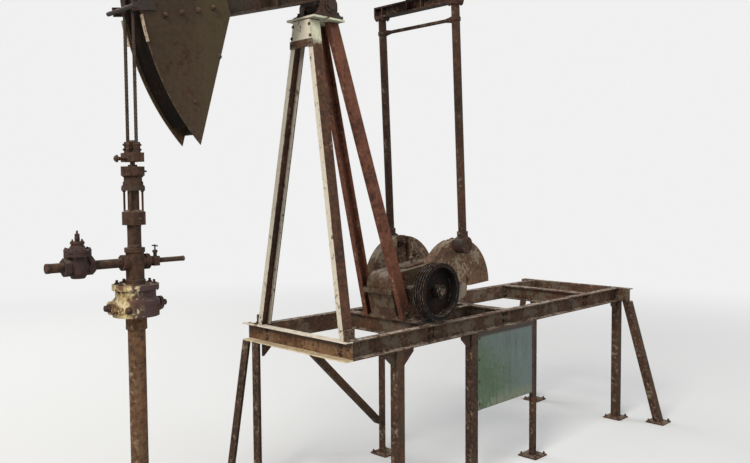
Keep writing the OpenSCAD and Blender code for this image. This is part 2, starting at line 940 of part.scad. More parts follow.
// I beam across under the tail bearing, stiffened over the pitmans, with two ears and the tail pin
module equalizer() {
  top = -equalizer_drop;
  ear_t = 20;
  end = pitman_y + 55;
  color("#2f251d")
    on_pitman() {
      translate([0, 0, top - equalizer_h])
        along_y(2 * end) beam_outline(equalizer_h, equalizer_b, equalizer_web, equalizer_flange);
      both_sides() {
        for (y = [-end, -pitman_y + 40, -86 - stiffener_t / 2])
          translate([-equalizer_b / 2, y, top - equalizer_h])
            cube([equalizer_b, stiffener_t, equalizer_h]);
        translate([0, -86, 0])
          along_y(ear_t) {
            circle(r = 43);
            translate([-43, top]) square([86, -top]);
          }
      }
      y_bar(tail_d, tail_pin_l);
    }
}

// Tubes from the equalizer down to the wrist bearings, with a flange on top and a solid lower end
module pitmans() {
  plug = 60;
  flange = 16;
  l = pitman_l - equalizer_drop - equalizer_h;
  color("#3a2a20")
    on_pitman()
      both_sides()
        translate([0, -pitman_y, -pitman_l])
          difference() {
            union() {
              cylinder(d = pitman_d, h = l);
              cylinder(d = 2 * bearing_half - 2, h = wrist_d / 2 + plug - 15);
              translate([-equalizer_b / 2, -equalizer_b / 2, l - flange])
                cube([equalizer_b, equalizer_b, flange]);
            }
            translate([0, 0, wrist_d / 2 + plug])
              cylinder(d = pitman_d - 2 * pitman_wall, h = l - wrist_d / 2 - plug - flange);
            y_bar(wrist_d + 2 * seat, 2 * pitman_d);
          }
}

module tie_rod() {
  color("#1d1714")
    on_pitman()
      translate([0, 0, -tie_z])
        y_bar(tie_d, 2 * pitman_y - pitman_d);
}

// Lower bearings with the ends of the wrist pins, kept clear of the cranks
module wrist_bearings() {
  color("#2a1f18")
    on_pitman()
      both_sides()
        translate([0, -pitman_y, -pitman_l]) {
          y_bar(wrist_d, 2 * bearing_half);
        }
}

module crankshaft() {
  color("#35302a")
    on_crank() y_bar(shaft_d, 2 * crank_out);
}

// Outline of a crank from its hub to the end past the wrist pin
module crank_outline() {
  difference() {
    union() {
      circle(d = hub_d);
      polygon([
        [-hub_d / 2, 0], [hub_d / 2, 0], [crank_w / 2, crank_r], [-crank_w / 2, crank_r]
      ]);
      translate([-crank_w / 2, crank_r]) square([crank_w, weight_r - crank_r]);
    }
    circle(r = shaft_d / 2 + seat);
  }
}

// Both cranks, each with a hub that stands out towards the reducer
module cranks() {
  hub_l = crank_t + hub_boss;
  color("#5a4a33")
    on_crank()
      both_sides() {
        translate([0, -crank_out + crank_t / 2, 0]) along_y(crank_t) crank_outline();
        translate([0, -crank_out + hub_l / 2, 0])
          y_bar(hub_d - 40, hub_l, shaft_d + 2 * seat);
      }
}

// Fan shaped weights on both edges of each crank
module crank_weights() {
  color("#6a5a3c")
    on_crank()
      both_sides()
        translate([0, -crank_out + weight_t / 2, 0])
          along_y(weight_t)
            for (s = [-1, 1])
              scale([s, 1]) intersection() {
                difference() {
                  circle(r = weight_r);
                  circle(r = weight_in);
                }
                polygon([
                  [hub_d / 2 + seat, 0], [crank_w / 2 + seat, crank_r], [crank_w / 2 + seat, weight_r * 2],
                  [weight_r * 2, weight_r * 2],
                  [weight_r * 2, weight_r * 2 * cos(24 + weight_sweep)]
                ]);
              }
}

module carrier_bar() {
  color("#2b1f19")
    translate([0, 0, carrier_z])
      difference() {
        union() {
          translate([-carrier_b / 2, -carrier_l / 2, 0]) cube([carrier_b, carrier_l, carrier_h]);
          both_sides()
            translate([0, -rope_y, carrier_h]) cylinder(d = rope_d + 16, h = socket_h);
          translate([-carrier_b / 2 - 70, 0, carrier_h / 3]) rotate([0, 90, 0]) cylinder(d = 24, h = 80);
        }
        translate([0, 0, -1]) cylinder(r = rod_d / 2 + seat, h = carrier_h + 2);
      }
}

module rod_clamp() {
  color("#32241c")
    translate([0, 0, carrier_z + carrier_h])
      difference() {
        translate([-40, -rope_y + rope_d / 2 + 12, 0])
          cube([80, 2 * (rope_y - rope_d / 2 - 12), clamp_h]);
        translate([0, 0, -1]) cylinder(r = rod_d / 2 + seat, h = clamp_h + 2);
      }
}

module polished_rod() {
  color("#6f675e")
    translate([0, 0, rod_foot]) cylinder(d = rod_d, h = rod_top - rod_foot);
}

// Straight run of the two ropes from their sockets up to the level of the saddle axis
module bridle_cables() {
  foot = carrier_z + carrier_h + socket_h;
  color("#3a322c")
    both_sides()
      translate([0, -rope_y, foot]) cylinder(d = rope_d, h = saddle_z - foot, $fn = 24);
}

// Casing pipe out of the ground, with the collar at its top
module casing() {
  color("#7a4428")
    difference() {
      union() {
        cylinder(d = casing_d, h = casing_z);
        translate([0, 0, casing_z - 90]) cylinder(d = casing_d + 22, h = 90);
      }
      translate([0, 0, -1]) cylinder(d = casing_d - 2 * casing_wall, h = casing_z + 2);
    }
}

// Casing head: wide below, with a flange on top and an outlet on each side
module casing_head() {
  outlet_l = head_d + 2 * side_outlet_l;
  color("#c2a873")
    translate([0, 0, casing_z])
      difference() {
        union() {
          cylinder(d = head_d - 40, h = head_z);
          cylinder(d = head_d, h = head_z * 0.5);
          translate([0, 0, head_z * 0.5]) cylinder(d1 = head_d, d2 = head_d - 40, h = 20);
          translate([0, 0, head_z - 34]) cylinder(d = head_d, h = 34);
          translate([-outlet_l / 2, 0, head_z * 0.32]) rotate([0, 90, 0]) {
            cylinder(d = side_outlet_d, h = outlet_l);
            cylinder(d = side_outlet_d + 14, h = 22);
            translate([0, 0, outlet_l - 22]) cylinder(d = side_outlet_d + 14, h = 22);
          }
        }
        translate([0, 0, -1]) cylinder(d = tubing_bore, h = head_z + 2);
      }
}

// A tee with a bead around each of its four ends
module pumping_tee() {
  bead_h = 30;
  bead = 14;
  color("#4a3328")
    translate([0, 0, tee_base])
      difference() {
        union() {
          cylinder(d = tee_d, h = tee_z);
          for (z = [0, tee_z - bead_h])
            translate([0, 0, z]) cylinder(d = tee_d + bead, h = bead_h);
          translate([-branch_l / 2, 0, flow_z - tee_base]) rotate([0, 90, 0]) {
            cylinder(d = branch_d, h = branch_l);
            for (z = [0, branch_l - bead_h])
              translate([0, 0, z]) cylinder(d = branch_d + bead, h = bead_h);
          }
        }
        translate([0, 0, -1]) cylinder(d = tubing_bore, h = tee_z + 2);
      }
}

module riser() {
  color("#4a3328")
    translate([0, 0, riser_base])
      difference() {
        cylinder(d = riser_d, h = riser_l);
        translate([0, 0, -1]) cylinder(d = tubing_bore, h = riser_l + 2);
      }
}

// Body with the packing, a neck, and the gland with its flange around the polished rod
module stuffing_box() {
  gland_z = box_body + neck_l;
  top = carrier_z - box_base - 30;
  bevel = 15;
  color("#30221a")
    translate([0, 0, box_base])
      difference() {
        union() {
          cylinder(d = box_d, h = box_body - bevel);
          translate([0, 0, box_body - bevel]) cylinder(d1 = box_d, d2 = neck_d, h = bevel);
          cylinder(d = neck_d, h = gland_z + 5);
          translate([0, 0, gland_z]) cylinder(d = box_d, h = 28);
          translate([0, 0, gland_z]) cylinder(d = box_d - 34, h = top - gland_z);
          translate([0, 0, top - 60]) cylinder(d = box_d, h = 60);
        }
        translate([0, 0, -1]) cylinder(d = tubing_bore, h = gland_z + 6);
        cylinder(r = rod_d / 2 + run, h = top + 1);
      }
}

// The two pipes of the flow line, on both sides of the gate valve
module flowline_nipples() {
  half = valve_l / 2;
  color("#3a2c22") {
    translate([-valve_x + half, 0, flow_z]) rotate([0, 90, 0])
      cylinder(d = flow_d, h = valve_x - half - branch_l / 2);
    translate([-outlet_x, 0, flow_z]) rotate([0, 90, 0])
      cylinder(d = flow_d, h = outlet_x - valve_x - half);
  }
}

// Gate valve with hexagon ends, two bonnet flanges, a gland and the bare stem
module gate_valve() {
  hex_d = 118;
  hex_l = 36;
  flange = 18;
  body_low = -45;
  gland_low = 140;
  color("#33262a")
    translate([-valve_x, 0, flow_z]) {
      translate([-valve_l / 2, 0, 0]) rotate([0, 90, 0]) {
        cylinder(d = branch_d, h = valve_l);
        for (z = [0, valve_l - hex_l])
          translate([0, 0, z]) cylinder(d = hex_d, h = hex_l, $fn = 6);
      }
      translate([0, 0, body_low - 30]) cylinder(d1 = valve_d - 40, d2 = valve_d, h = 30);
      translate([0, 0, body_low]) cylinder(d = valve_d, h = valve_h);
      for (z = [64, 64 + flange + 3])
        translate([0, 0, z]) cylinder(d = bonnet_d, h = flange);
      translate([0, 0, 100]) cylinder(d1 = valve_d, d2 = valve_d - 56, h = 45);
      translate([0, 0, gland_low]) cylinder(d = valve_d - 34, h = 16);
      translate([0, 0, gland_low + 10]) cylinder(d = stem_d, h = 55);
    }
}

// Hexagon bushing, needle valve and a small pipe, on the other side of the tee
module needle_valve() {
  block = 50;
  block_low = 34;
  neck = 24;
  color("#35302a")
    translate([branch_l / 2, 0, flow_z]) {
      rotate([0, 90, 0]) {
        cylinder(d = bushing_d, h = bushing_l + 1, $fn = 6);
        translate([0, 0, bushing_l + 1]) cylinder(d = gauge_d, h = gauge_l - bushing_l - 1);
      }
      translate([bushing_l, -block / 2, -block_low]) cube([gauge_valve_l, block, block_low + 30]);
      translate([bushing_l + gauge_valve_l / 2, 0, 20]) cylinder(d = neck, h = 34);
    }
}

front_crossmember();
rear_crossmember();
side_rails();
inner_crossmembers();
gearbox_bearers();
front_legs();
middle_legs();
rear_legs();
raked_legs();
foot_plates();
far_brace();
panel_post();
guard_panel();
post_front_legs();
post_rear_legs();
post_tie();
post_cap();
saddle_bearings();
gearbox_case();
gearbox_cover();
sheave_pedestal();
sheave_shaft();
belt_sheave();
walking_beam();
beam_saddle();
horsehead_plates();
horsehead_face();
horsehead_ribs();
cable_keeper();
wrapped_cables();
tail_bearing();
equalizer();
pitmans();
tie_rod();
wrist_bearings();
crankshaft();
cranks();
crank_weights();
carrier_bar();
rod_clamp();
polished_rod();
bridle_cables();
casing();
casing_head();
pumping_tee();
riser();
stuffing_box();
flowline_nipples();
gate_valve();
needle_valve();
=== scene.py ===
import math

import bmesh
import bpy
import numpy as np
from mathutils import Matrix, Vector


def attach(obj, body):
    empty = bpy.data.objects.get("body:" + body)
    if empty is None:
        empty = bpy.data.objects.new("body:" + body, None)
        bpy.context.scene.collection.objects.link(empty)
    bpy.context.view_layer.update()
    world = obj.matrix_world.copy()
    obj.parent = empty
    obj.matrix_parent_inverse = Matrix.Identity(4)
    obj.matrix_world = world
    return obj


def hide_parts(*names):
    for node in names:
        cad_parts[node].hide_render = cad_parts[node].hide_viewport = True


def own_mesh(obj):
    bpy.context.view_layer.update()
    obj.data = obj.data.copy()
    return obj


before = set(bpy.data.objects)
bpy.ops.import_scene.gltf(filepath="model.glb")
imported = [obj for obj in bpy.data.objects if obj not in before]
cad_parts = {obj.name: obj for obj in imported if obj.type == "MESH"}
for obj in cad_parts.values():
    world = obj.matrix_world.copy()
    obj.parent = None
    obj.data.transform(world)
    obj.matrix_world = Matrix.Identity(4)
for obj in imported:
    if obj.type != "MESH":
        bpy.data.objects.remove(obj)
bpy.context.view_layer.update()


# CAMERA, FLOOR AND LIGHT
# The camera stands at the left front of the well, a little over two and a half metres up, and
# looks along the unit to its rear. Floor and backdrop are pale; the light is broad and soft.
eye_place, eye_yaw, eye_pitch, eye_roll = (-2.473, -4.695, 2.636), 45.166, -3.296, -0.4
film_width, focal_length, sees_to = 36.0, 36.96, 200.0


def placed(name, data):
    """A new object in the scene."""
    made = bpy.data.objects.new(name, data)
    bpy.context.scene.collection.objects.link(made)
    return made


eye = placed("eye", bpy.data.cameras.new("eye"))
# Yaw turns the view from +Y towards +X, pitch tips it up, and roll turns the picture
turns = zip((-eye_yaw, 90.0 + eye_pitch, eye_roll), "ZXZ")
yaw, pitch, roll = (Matrix.Rotation(math.radians(angle), 4, axis) for angle, axis in turns)
eye.matrix_world = Matrix.Translation(eye_place) @ yaw @ pitch @ roll
eye.data.sensor_width = film_width
eye.data.lens = focal_length
eye.data.clip_end = sees_to
bpy.context.scene.camera = eye
bpy.context.scene.view_settings.view_transform = "Standard"


def lamp(name, place, target, width, power, tint=(1.0, 1.0, 1.0)):
    """A square area light at place, aimed at target."""
    light = bpy.data.lights.new(name, "AREA")
    light.size = width
    light.energy = power
    light.color = tint
    holder = placed(name, light)
    holder.location = place
    holder.rotation_euler = (Vector(target) - Vector(place)).to_track_quat("-Z", "Y").to_euler()


lamp("left_light", (-10.5, -4.0, 13.0), (1.8, 0.0, 2.2), 7.0, 3150.0, (1.0, 0.97, 0.93))
lamp("right_light", (10.0, -10.0, 9.0), (2.5, 0.0, 2.0), 9.0, 850.0, (0.94, 0.97, 1.0))
lamp("back_light", (3.0, 12.0, 9.0), (2.5, 0.0, 2.5), 8.0, 900.0)


class Nodes:
    """The node tree of a material or of the sky. Each call adds nodes, links what it is given and
    returns an output."""

    def __init__(self, owner):
        owner.use_nodes = True
        self.tree = owner.node_tree

    def feed(self, socket, value):
        """Gives a socket an output of another node, a plain number or a colour."""
        if isinstance(value, bpy.types.NodeSocket):
            self.tree.links.new(value, socket)
        elif isinstance(value, tuple) and socket.type == "RGBA":
            socket.default_value = (*value, 1.0)
        else:
            socket.default_value = value

    def fill(self, node, values):
        """Feeds the inputs that are named."""
        for key, value in values.items():
            self.feed(node.inputs[key], value)

    def add(self, kind, *values, **settings):
        """A node whose first inputs take the values and whose own settings take the rest."""
        node = self.tree.nodes.new(kind)
        for key, setting in settings.items():
            setattr(node, key, setting)
        for socket, value in zip(node.inputs, values):
            self.feed(socket, value)
        return node

    def maths(self, kind, *values):
        return self.add("ShaderNodeMath", *values, operation=kind).outputs[0]

    def times(self, first, second):
        return self.maths("MULTIPLY", first, second)

    def step(self, source, low, high):
        """A soft step: nought up to low, one from high on."""
        node = self.add("ShaderNodeMapRange", source, low, high, interpolation_type="SMOOTHSTEP")
        return node.outputs["Result"]

    def seen(self):
        """One for a ray from the camera or off a glossy surface, and nought for any other."""
        ray = self.add("ShaderNodeLightPath")
        return self.maths("MAXIMUM", ray.outputs["Is Camera Ray"], ray.outputs["Is Glossy Ray"])

    def finish(self, output, share, first, second):
        """Ends the tree in a mix of two shaders by share."""
        mixed = self.add("ShaderNodeMixShader", share, first.outputs[0], second.outputs[0])
        self.fill(self.tree.nodes[output], {"Surface": mixed.outputs[0]})


backdrop, sky_light, sky_strength = (0.87, 0.875, 0.87), (0.96, 0.975, 1.0), 0.5
sky = bpy.data.worlds.new("studio")
bpy.context.scene.world = sky
sky_nodes = Nodes(sky)
lit = sky_nodes.add("ShaderNodeBackground", sky_light, sky_strength)
plain = sky_nodes.add("ShaderNodeBackground", backdrop)
sky_nodes.finish("World Output", sky_nodes.seen(), lit, plain)

# The floor is plain and pale near the unit and fades into the backdrop far away from it
floor_colour, floor_rough, floor_middle = (0.57, 0.57, 0.56), 0.9, (2.0, 0.0, 0.0)
fade_from, fade_to, low, high = 4.5, 16.0, -90, 95
floor_mesh = bpy.data.meshes.new("floor")
floor_mesh.from_pydata([(low, low, 0), (high, low, 0), (high, -low, 0), (low, -low, 0)], [], [(0, 1, 2, 3)])
floor = placed("floor", floor_mesh)
floor_look = bpy.data.materials.new("pale_floor")
floor_nodes = Nodes(floor_look)
floor_shader = floor_nodes.tree.nodes["Principled BSDF"]
floor_nodes.fill(floor_shader, {"Base Color": floor_colour, "Roughness": floor_rough})
here = floor_nodes.add("ShaderNodeTexCoord").outputs["Object"]
away = floor_nodes.add("ShaderNodeVectorMath", here, floor_middle, operation="DISTANCE").outputs["Value"]
faded = floor_nodes.times(floor_nodes.step(away, fade_from, fade_to), floor_nodes.seen())
glow = floor_nodes.add("ShaderNodeEmission", backdrop)
floor_nodes.finish("Material Output", faded, floor_shader, glow)
floor_mesh.materials.append(floor_look)


# LEGS OF THE STAND
# Angle iron legs cut from old stock, each on a square foot plate bolted to the ground. They have
# never seen a second coat: dark brown scale with orange bloom, and pale painted sunlight on the faces towards
# -X.
class Finish(Nodes):
    """The nodes of one weathered material, which all work on object coordinates."""

    def __init__(self, name):
        self.look = bpy.data.materials.new(name)
        super().__init__(self.look)
        self.shader = self.tree.nodes["Principled BSDF"]
        spot = self.add("ShaderNodeTexCoord")
        self.here, self.facing = spot.outputs["Object"], spot.outputs["Normal"]

    def times_plus(self, first, second, third):
        return self.maths("MULTIPLY_ADD", first, second, third)

    def dot(self, first, second):
        return self.add("ShaderNodeVectorMath", first, second, operation="DOT_PRODUCT").outputs["Value"]

    def mix(self, share, under, over):
        """The colour under, covered by the share of the colour over."""
        node = self.add("ShaderNodeMix", share, data_type="RGBA")
        for place, colour in ((6, under), (7, over)):
            self.feed(node.inputs[place], colour)
        return node.outputs[2]

    def ramp(self, source, *stops):
        """Colours at rising values of the source, blended between them."""
        node = self.add("ShaderNodeValToRGB", source)
        bar = node.color_ramp.elements
        while len(bar) < len(stops):
            bar.new(0.5)
        for element, (place, colour) in zip(bar, stops):
            element.position = place
            element.color = (*colour, 1.0)
        return node.outputs["Color"]

    def noise(self, size, detail, roughness=0.6, stretch=None):
        """Cloudy noise, size features to a metre, stretched if asked."""
        node = self.add("ShaderNodeTexNoise")
        source = self.here
        if stretch:
            mapping = self.add("ShaderNodeMapping", self.here)
            self.fill(mapping, {"Scale": stretch})
            source = mapping.outputs[0]
        self.fill(node, {"Vector": source, "Scale": size, "Detail": detail, "Roughness": roughness})
        return node.outputs["Fac"]


def tone(colour, level):
    """A colour made darker or lighter by a factor."""
    return tuple(float(level * part) for part in colour)


def shares(level, spread, share):
    """Value of a noise round `level` above which about this share of a surface lies."""
    return level + spread * (1 - 2 * share)


settled_dust, edge_round = (0.2, 0.165, 0.12), 0.004


def aged(name, slot_name, coat, left, scale=(0.014, 0.009, 0.007), rust=(0.043, 0.021, 0.013),
         bloom=(0.125, 0.05, 0.022), pale=None, pale_side=(-1, 0, 0), pale_share=0.5, bands=(), dust=0.25,
         worn=(0.2, 0.14, 0.1), wear=0.5, patch=6.0, grain=130.0, streaks=0.35, run_colour=None,
         rough=0.8, metal=0.0, relief=0.0012, shine=0.2):
    """Weathered steel or iron. Under everything lies rust, from dark scale over brown to orange bloom,
    mottled by three noises. The share `left` of the coat stays in ragged patches with a rust halo.
    Bands are (direction, low, high, soft edge, colour, share) and recolour a slice of the piece.
    Faces towards pale_side take the pale colour in flakes, which is painted sunlight; top faces take
    dust, downward faces take painted shade, and edges wear down to `worn`.
    The finish is given back with the name of its slot."""
    f = Finish(name)
    broad, patches = f.noise(1.9, 3.0), f.noise(patch, 8.0, 0.66)
    middle, fine = f.noise(31.0, 5.0, 0.65), f.noise(grain, 4.0, 0.7)
    drips = f.noise(1.0, 4.0, 0.62, (34.0, 34.0, 1.6))
    ragged = f.times_plus(middle, 0.3, f.times(patches, 0.7))

    # Bare rust
    mottling = f.times_plus(broad, 0.3, f.times_plus(middle, 0.42, f.times(fine, 0.28)))
    half_bloom = tuple(float(0.55 * a + 0.45 * b) for a, b in zip(rust, bloom))
    body = f.ramp(mottling, (0.4, scale), (0.48, rust), (0.545, half_bloom), (0.62, bloom))

    # What is left of the coat
    edge = shares(0.5, 0.15, left)
    kept = f.step(ragged, edge - 0.012, edge + 0.018)
    halo = f.maths("SUBTRACT", f.step(ragged, edge - 0.05, edge - 0.008), kept)
    shade = f.ramp(f.times_plus(middle, 0.5, f.times(broad, 0.5)),
                   (0.35, tone(coat, 0.68)), (0.5, tone(coat, 0.95)), (0.65, tone(coat, 1.12)))
    body = f.mix(f.times(halo, 0.7), body, half_bloom)
    body = f.mix(kept, body, shade)

    # Slices of another colour, and runs down the faces
    for direction, low, high, soft, colour, share in bands:
        wavering = f.times(f.maths("SUBTRACT", ragged, 0.5), 5.0 * soft)
        along = f.maths("ADD", f.dot(f.here, direction), wavering)
        inside = f.times(f.step(along, low - soft, low + soft), f.step(along, high + soft, high - soft))
        level = shares(0.5, 0.16, share)
        flaked = f.times(inside, f.step(ragged, level - 0.03, level))
        body = f.mix(flaked, body, f.mix(middle, tone(colour, 0.75), tone(colour, 1.15)))
    runs = f.times(f.step(drips, 0.46, 0.68), f.step(broad, 0.38, 0.6))
    body = f.mix(f.times(runs, streaks), body, tone(run_colour or rust, 0.75))

    # Painted sunlight on faces towards pale_side, dust on top, and painted shade on undersides
    if pale is not None:
        level = shares(0.5, 0.15, pale_share)
        flakes = f.step(f.times_plus(patches, 0.45, f.times(middle, 0.55)), level - 0.03, level + 0.04)
        # Faces towards pale_side take the pale colour in flakes: painted sunlight
        painted_sunlit = f.times(f.step(f.dot(f.facing, pale_side), 0.5, 0.85), flakes)
        body = f.mix(painted_sunlit, body, f.mix(middle, tone(pale, 0.62), pale))
    upward = f.dot(f.facing, (0.0, 0.0, 1.0))
    if dust:
        settled = f.times(f.step(upward, 0.35, 0.9), f.times(f.step(ragged, 0.4, 0.6), dust))
        body = f.mix(settled, body, settled_dust)
    # Downward faces are darkened: painted shade
    body = f.mix(f.times(f.step(upward, -0.35, -0.95), 0.45), body, tone(scale, 0.8))

    # Edges rubbed bare
    rounded = f.add("ShaderNodeBevel", edge_round, samples=4).outputs["Normal"]
    flat = f.add("ShaderNodeNewGeometry").outputs["Normal"]
    sharp = f.maths("SUBTRACT", 1.0, f.dot(rounded, flat))
    rubbed = f.times(f.step(sharp, 0.02, 0.16), f.step(middle, 0.4, 0.62))
    body = f.mix(f.times(rubbed, wear), body, worn)

    # Gloss and relief
    dull = f.maths("ADD", f.times(fine, 0.3), f.times_plus(kept, -0.1, rough - 0.12))
    bump = f.add("ShaderNodeBump")
    height = f.maths("ADD", f.times_plus(middle, 0.6, fine), f.times(kept, 0.45))
    f.fill(bump, {"Strength": 0.85, "Distance": relief, "Height": height, "Normal": rounded})
    f.fill(f.shader, {"Base Color": body, "Roughness": dull, "Metallic": metal,
                      "Specular IOR Level": shine, "Normal": bump.outputs["Normal"]})
    return f.look, slot_name


def dress(piece, finish):
    """Gives a piece the material of one finish; the slot name that comes with it is not used."""
    look, slot_name = finish
    piece.data.materials.clear()
    piece.data.materials.append(look)


def coat(finish, *names):
    """Puts one finish on CAD nodes, in place of the plain one."""
    for name in names:
        dress(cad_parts[name], finish)


def shape(name, parts, finish, body, smooth=30, hide=()):
    """Makes a piece from parts, each a set of points and faces. The parts of a body that leans at
    rest are given upright, and are leant here. Points that coincide are joined, which closes seams
    and poles, and the faces are turned outwards. Smooth shading holds below the given angle."""
    points, faces = together(*parts)
    if body in leaning:
        points = tilted(points, *leaning[body])
    mesh = bpy.data.meshes.new(name)
    mesh.from_pydata(points.tolist(), [], faces)
    work = bmesh.new()
    work.from_mesh(mesh)
    bmesh.ops.remove_doubles(work, verts=work.verts, dist=2e-5)
    bmesh.ops.recalc_face_normals(work, faces=work.faces)
    work.to_mesh(mesh)
    work.free()
    if smooth:
        mesh.shade_smooth()
        mesh.set_sharp_from_angle(angle=math.radians(smooth))
    piece = placed(name, mesh)
    dress(piece, finish)
    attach(piece, body)
    if hide:
        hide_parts(*hide)
    return piece


def tube_faces(count, rings, sides, caps=True):
    """Faces of `count` equal tubes of rings by sides points, each closed by a face at both ends."""
    i, j = np.meshgrid(np.arange(rings - 1), np.arange(sides), indexing="ij")
    a, b = i * sides + j, i * sides + (j + 1) % sides
    quads = np.stack([a, b, b + sides, a + sides], -1).reshape(-1, 4)
    starts = np.arange(count) * rings * sides
    faces = (quads[None] + starts[:, None, None]).reshape(-1, 4).tolist()
    if caps:
        ring = np.arange(sides)
        faces += (ring[::-1][None] + starts[:, None]).tolist()
        faces += (ring[None] + starts[:, None] + (rings - 1) * sides).tolist()
    return faces


def axes_across(along):
    """The unit vector along each direction, and two more that are square to it and to each other."""
    along = np.asarray(along, float)
    along = along / np.linalg.norm(along, axis=-1, keepdims=True)
    helper = np.where(np.abs(along[..., 2:3]) < 0.9, [0.0, 0.0, 1.0], [1.0, 0.0, 0.0])
    first = np.cross(helper, along)
    first /= np.linalg.norm(first, axis=-1, keepdims=True)
    return along, first, np.cross(along, first)


def tilted(points, origin, degrees):
    """Points turned about Y and moved to an origin: (x cos a - z sin a, y, x sin a + z cos a) + origin."""
    c, s = math.cos(math.radians(degrees)), math.sin(math.radians(degrees))
    x, y, z = points.T
    return np.column_stack([x * c - z * s, y, x * s + z * c]) + np.asarray(origin, float)


def circle(t, first, second):
    """Places on a unit circle: cos t * first + sin t * second, for each angle t."""
    return np.cos(t)[..., None] * first + np.sin(t)[..., None] * second


def full_turn(count, start=0.0):
    """Angles that divide a full turn evenly."""
    return np.arange(count) * 2 * math.pi / count + start


def spun(outline, sides, at, along, spin=0.0, caps=True):
    """An outline of (radius, height) pairs turned round an axis, at each of several places:
    place + height * axis + radius * circle."""
    outline, at = np.asarray(outline, float), np.atleast_2d(np.asarray(at, float))
    axis, first, second = axes_across(np.broadcast_to(np.asarray(along, float), at.shape))
    across = circle(full_turn(sides, spin), first[:, None], second[:, None])
    points = at[:, None, None] + outline[:, None, 1:] * axis[:, None, None]
    points = points + outline[:, None, :1] * across[:, None]
    return points, tube_faces(len(at), len(outline), sides, caps)


def turned(outline, sides, at, along, spin=0.0):
    """Equal solids turned round an axis, whose outline is carried in to the axis at both ends."""
    outline = np.concatenate([[(0.0, outline[0][1])], outline, [(0.0, outline[-1][1])]])
    return spun(outline, sides, at, along, spin)


def together(*parts):
    """Several (points, faces) sets as one."""
    points, faces, start = [], [], 0
    for part_points, part_faces in parts:
        part_points = np.asarray(part_points, float).reshape(-1, 3)
        points.append(part_points)
        faces += [[k + start for k in face] for face in part_faces]
        start += len(part_points)
    return np.concatenate(points), faces


up, down, rearward, nearward = (0, 0, 1), (0, 0, -1), (1, 0, 0), (0, -1, 0)
# Origin, and degrees about Y, of each body that leans at rest
leaning = {}
# Outlines of a hexagon head and its washer, for a thread of diameter one
bolt_head = np.array([(0.82, 0.0), (0.9, 0.07), (0.9, 0.56), (0.8, 0.66)])
washer = np.array([(1.15, -0.04), (1.15, 0.11)])


def bolts(at, along, size, thread=1.0):
    """Hexagon heads or nuts with a washer under each and a stub of thread on top. Size is the
    diameter of the thread; thread is how far the stub reaches, in diameters."""
    at = np.atleast_2d(np.asarray(at, float))
    stub = np.array([(0.5, 0.6), (0.5, thread - 0.08), (0.42, thread)])
    spin = (at.sum() * 7.0) % 1.0
    return together(turned(bolt_head * size, 6, at, along, spin), turned(washer * size, 14, at, along),
                    turned(stub * size, 10, at, along))


def slab(outline, thick, origin, e1, e2):
    """A flat plate: outline points a*e1 + b*e2 from the origin, carried by its thickness along e1 x e2."""
    outline, e1, e2 = np.asarray(outline, float), np.asarray(e1, float), np.asarray(e2, float)
    flat = np.asarray(origin, float) + outline[:, :1] * e1 + outline[:, 1:] * e2
    points = np.stack([flat, flat + thick * np.cross(e1, e2)])
    return points, tube_faces(1, 2, len(outline))


def oblong(a0, a1, b0, b1):
    """The outline of a rectangle."""
    return [(a0, b0), (a1, b0), (a1, b1), (a0, b1)]


def bead(path, radius, seed):
    """Weld bead: a tube along a path whose radius ripples with a short wave and a little chance."""
    path = np.asarray(path, float)
    steps = np.linalg.norm(np.diff(path, axis=0), axis=1)
    run = np.concatenate([[0.0], np.cumsum(steps)])
    fine = np.arange(0.0, run[-1] + 1e-9, radius * 0.7)
    line = np.stack([np.interp(fine, run, path[:, k]) for k in range(3)], 1)
    _, first, second = axes_across(np.gradient(line, axis=0))
    chance = np.random.default_rng(seed).normal(0, 0.08, len(line))
    r = (radius * (1 + 0.18 * np.sin(fine / radius * 2.4) + chance))[:, None, None]
    points = line[:, None] + r * circle(full_turn(6), first[:, None], second[:, None])
    return points, tube_faces(1, len(line), 6)


# Pale flakes on the faces towards -X are painted sunlight
leg_look = aged("leg_rust", "leg_steel", (0.045, 0.031, 0.019), 0.35, rust=(0.036, 0.02, 0.012),
                bloom=(0.115, 0.05, 0.022), pale=(0.2, 0.15, 0.105), pale_share=0.3)
foot_look = aged("foot_rust", "leg_steel", (0.055, 0.032, 0.022), 0.3, dust=0.6, bloom=(0.15, 0.06, 0.027))
coat(leg_look, "front_legs", "middle_legs", "rear_legs", "raked_legs", "far_brace", "panel_post")
coat(foot_look, "foot_plates")
foot_t, foot_bolt_out = 0.014, 0.078
leg_a, leg_t, leg_top, leg_y = 0.08, 0.009, 1.34, 0.58
# Corner of each upright angle, and the side on which its second flange lies
uprights = [(1.35, leg_y, -1), (1.91, -leg_y, 1), (2.87, -leg_y, 1), (2.87, leg_y, -1),
            (5.53, -leg_y, 1), (5.53, leg_y, -1)]
panel_post_foot, raked_feet = (3.86, -0.555), [(1.39, 0.97), (5.73, -0.97), (5.73, 0.97)]
plate_centres = [(x + leg_a / 2, y + s * leg_a / 2) for x, y, s in uprights] + [panel_post_foot] + raked_feet
corners = foot_bolt_out * np.array([(-1, -1), (-1, 1), (1, -1), (1, 1)])
feet = (np.array(plate_centres)[:, None] + corners[None]).reshape(-1, 2)
anchor_bolts = bolts(np.column_stack([feet, np.full(len(feet), foot_t)]), up, 0.018, 1.5)
shape("anchor_bolts", [anchor_bolts], foot_look, "stand")

thin = leg_t / leg_a
round_angle = leg_a * np.array([(0, 0), (1, 0), (1, thin), (thin, thin), (thin, 1), (0, 1), (0, 0)])


def leg_weld(x, y, s, z, radius, seed):
    """A bead round the outline of an upright angle at height z."""
    across, back = round_angle.T
    return bead(np.column_stack([x + across, y + s * back, np.full(len(across), z)]), radius, seed)


weld_rows = ((foot_t + 0.001, 0.005, 0), (leg_top - 0.001, 0.004, 9))
leg_welds = [leg_weld(*upright, z, radius, seed + k) for z, radius, seed in weld_rows
             for k, upright in enumerate(uprights)]
shape("leg_welds", leg_welds, foot_look, "stand", smooth=60)

